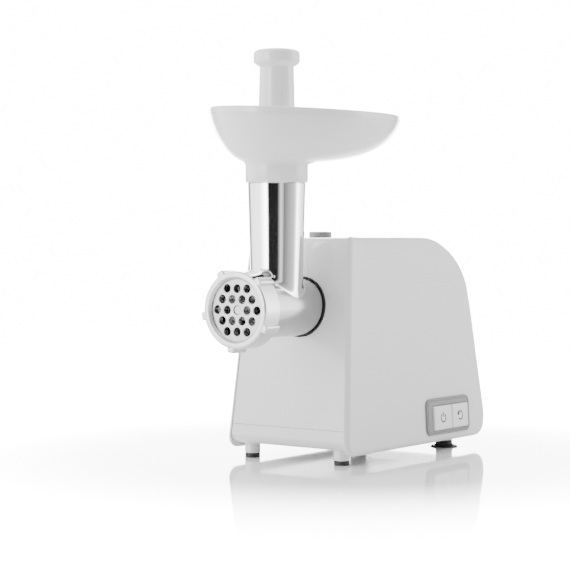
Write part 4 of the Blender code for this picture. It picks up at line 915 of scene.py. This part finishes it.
def camera():
    data = bpy.data.cameras.new("Camera")
    data.lens = LENS
    data.sensor_width = 36
    data.clip_start = 0.01
    data.clip_end = 50
    obj = link(bpy.data.objects.new("Camera", data))
    obj.location = CAMERA_AT
    obj.rotation_euler = Euler((radians(90 - CAMERA_DIP), 0, radians(CAMERA_TURN)))
    bpy.context.scene.camera = obj


def area_light(name, place, target, size, power, glossy=True):
    data = bpy.data.lights.new(name, "AREA")
    data.shape = "RECTANGLE"
    data.size, data.size_y = size
    data.energy = power
    obj = link(bpy.data.objects.new(name, data))
    obj.location = place
    obj.rotation_euler = (Vector(target) - Vector(place)).to_track_quat("-Z", "Y").to_euler()
    obj.visible_glossy = glossy
    return obj


def floor():
    """A glossy white table that glows further out, the way a lit sweep does."""
    bm = bmesh.new()
    bmesh.ops.create_grid(bm, x_segments=2, y_segments=2, size=1.3)
    obj = from_bmesh("floor", bm)
    made, nodes, links, shader = tree("pale gloss floor")
    shader.inputs["Base Color"].default_value = (0.90, 0.90, 0.90, 1)
    shader.inputs["Roughness"].default_value = 0.06
    shader.inputs["IOR"].default_value = 1.6
    place = nodes.new("ShaderNodeTexCoord")
    length = nodes.new("ShaderNodeVectorMath")
    length.operation = "LENGTH"
    links.new(place.outputs["Object"], length.inputs[0])
    glow = nodes.new("ShaderNodeMapRange")
    glow.interpolation_type = "SMOOTHSTEP"
    glow.inputs["From Min"].default_value = GLOW_FROM
    glow.inputs["From Max"].default_value = GLOW_TO
    glow.inputs["To Max"].default_value = FLOOR_GLOW
    links.new(length.outputs["Value"], glow.inputs["Value"])
    rays = nodes.new("ShaderNodeLightPath")
    seen = nodes.new("ShaderNodeMath")
    seen.operation = "MULTIPLY"
    links.new(glow.outputs["Result"], seen.inputs[0])
    links.new(rays.outputs["Is Camera Ray"], seen.inputs[1])
    shader.inputs["Emission Color"].default_value = (1, 1, 1, 1)
    links.new(seen.outputs[0], shader.inputs["Emission Strength"])
    obj.data.materials.append(made)


SKY = 16.0                     # brightness of the lit backdrop
FLOOR_GLOW = 15.0              # for camera rays only
GLOW_FROM, GLOW_TO = 0.17, 0.46    # metres from the origin
# direction in degrees from +X round to +Y, and brightness
MIRRORED = [                    # what glossy surfaces see
    (-180, 3.5), (-150, 4.0), (-125, 4.2), (-112, 8), (-98, 14), (-92, 9), (-88, 0.03), (-50, 0.03),
    (-44, 0.5), (-36, 1.8), (-30, 1.3), (-24, 0.35), (-16, 0.5), (0, 0.85), (20, 1.3), (30, 2.6),
    (38, 9), (46, 7), (56, 4.5), (68, 3), (80, 2.6), (92, 0.3), (100, 0.3), (106, 16), (146, 16),
    (152, 0.6), (170, 0.6), (180, 3.5)]
DIFFUSED = [                    # what lights everything else
    (-180, 4.6), (-145, 5.6), (-112, 3.6), (-90, 0.6), (-20, 0.3), (10, 1.2), (45, 2.4), (80, 4.0),
    (180, 4.6)]
TOP_LIGHT = 1.8


def band(nodes, links, angle, stops):
    ramp = nodes.new("ShaderNodeValToRGB")
    elements = ramp.color_ramp.elements
    elements.remove(elements[-1])
    for i, (degrees, value) in enumerate(stops):
        element = elements[0] if i == 0 else elements.new((degrees + 180) / 360)
        element.position = (degrees + 180) / 360
        element.color = (value / SKY, value / SKY, value / SKY, 1)
    links.new(angle, ramp.inputs["Fac"])
    return ramp.outputs["Color"]


def mixed(nodes, links, factor, first, second):
    mix = nodes.new("ShaderNodeMix")
    mix.data_type = "RGBA"
    links.new(factor, mix.inputs["Factor"])
    for socket, value in (("A", first), ("B", second)):
        if isinstance(value, float):
            mix.inputs[socket].default_value = (value, value, value, 1)
        else:
            links.new(value, mix.inputs[socket])
    return mix.outputs["Result"]


def world():
    """A white ground, with light by azimuth: one set of bands to mirror, another to light by."""
    made = bpy.data.worlds.new("Studio")
    bpy.context.scene.world = made
    made.use_nodes = True
    nodes, links = made.node_tree.nodes, made.node_tree.links
    sky = nodes["Background"]
    place = nodes.new("ShaderNodeTexCoord")
    split = nodes.new("ShaderNodeSeparateXYZ")
    links.new(place.outputs["Generated"], split.inputs["Vector"])
    angle = nodes.new("ShaderNodeMath")
    angle.operation = "ARCTAN2"
    links.new(split.outputs["Y"], angle.inputs[0])
    links.new(split.outputs["X"], angle.inputs[1])
    turn = nodes.new("ShaderNodeMapRange")
    turn.inputs["From Min"].default_value = -pi
    turn.inputs["From Max"].default_value = pi
    links.new(angle.outputs[0], turn.inputs["Value"])
    high = nodes.new("ShaderNodeMapRange")
    high.interpolation_type = "SMOOTHSTEP"
    high.inputs["From Min"].default_value = 0.55
    high.inputs["From Max"].default_value = 0.85
    links.new(split.outputs["Z"], high.inputs["Value"])
    rays = nodes.new("ShaderNodeLightPath")
    around = mixed(nodes, links, rays.outputs["Is Glossy Ray"],
                   band(nodes, links, turn.outputs["Result"], DIFFUSED),
                   band(nodes, links, turn.outputs["Result"], MIRRORED))
    over = mixed(nodes, links, high.outputs["Result"], around, TOP_LIGHT / SKY)
    links.new(mixed(nodes, links, rays.outputs["Is Camera Ray"], over, 1.0), sky.inputs["Color"])
    sky.inputs["Strength"].default_value = SKY


def lights():
    area_light("top softbox", (-0.3, -0.2, 1.8), (0, 0, 0.1), (1.2, 1.2), 12, False)


# ---- the build ---------------------------------------------------------------------------
kept_nodes()
housing()
port_liner()
controls()
release_button()
feet()
head()
fixing_ring()
cutting_plate()
tray()
pusher()
camera()
floor()
world()
lights()
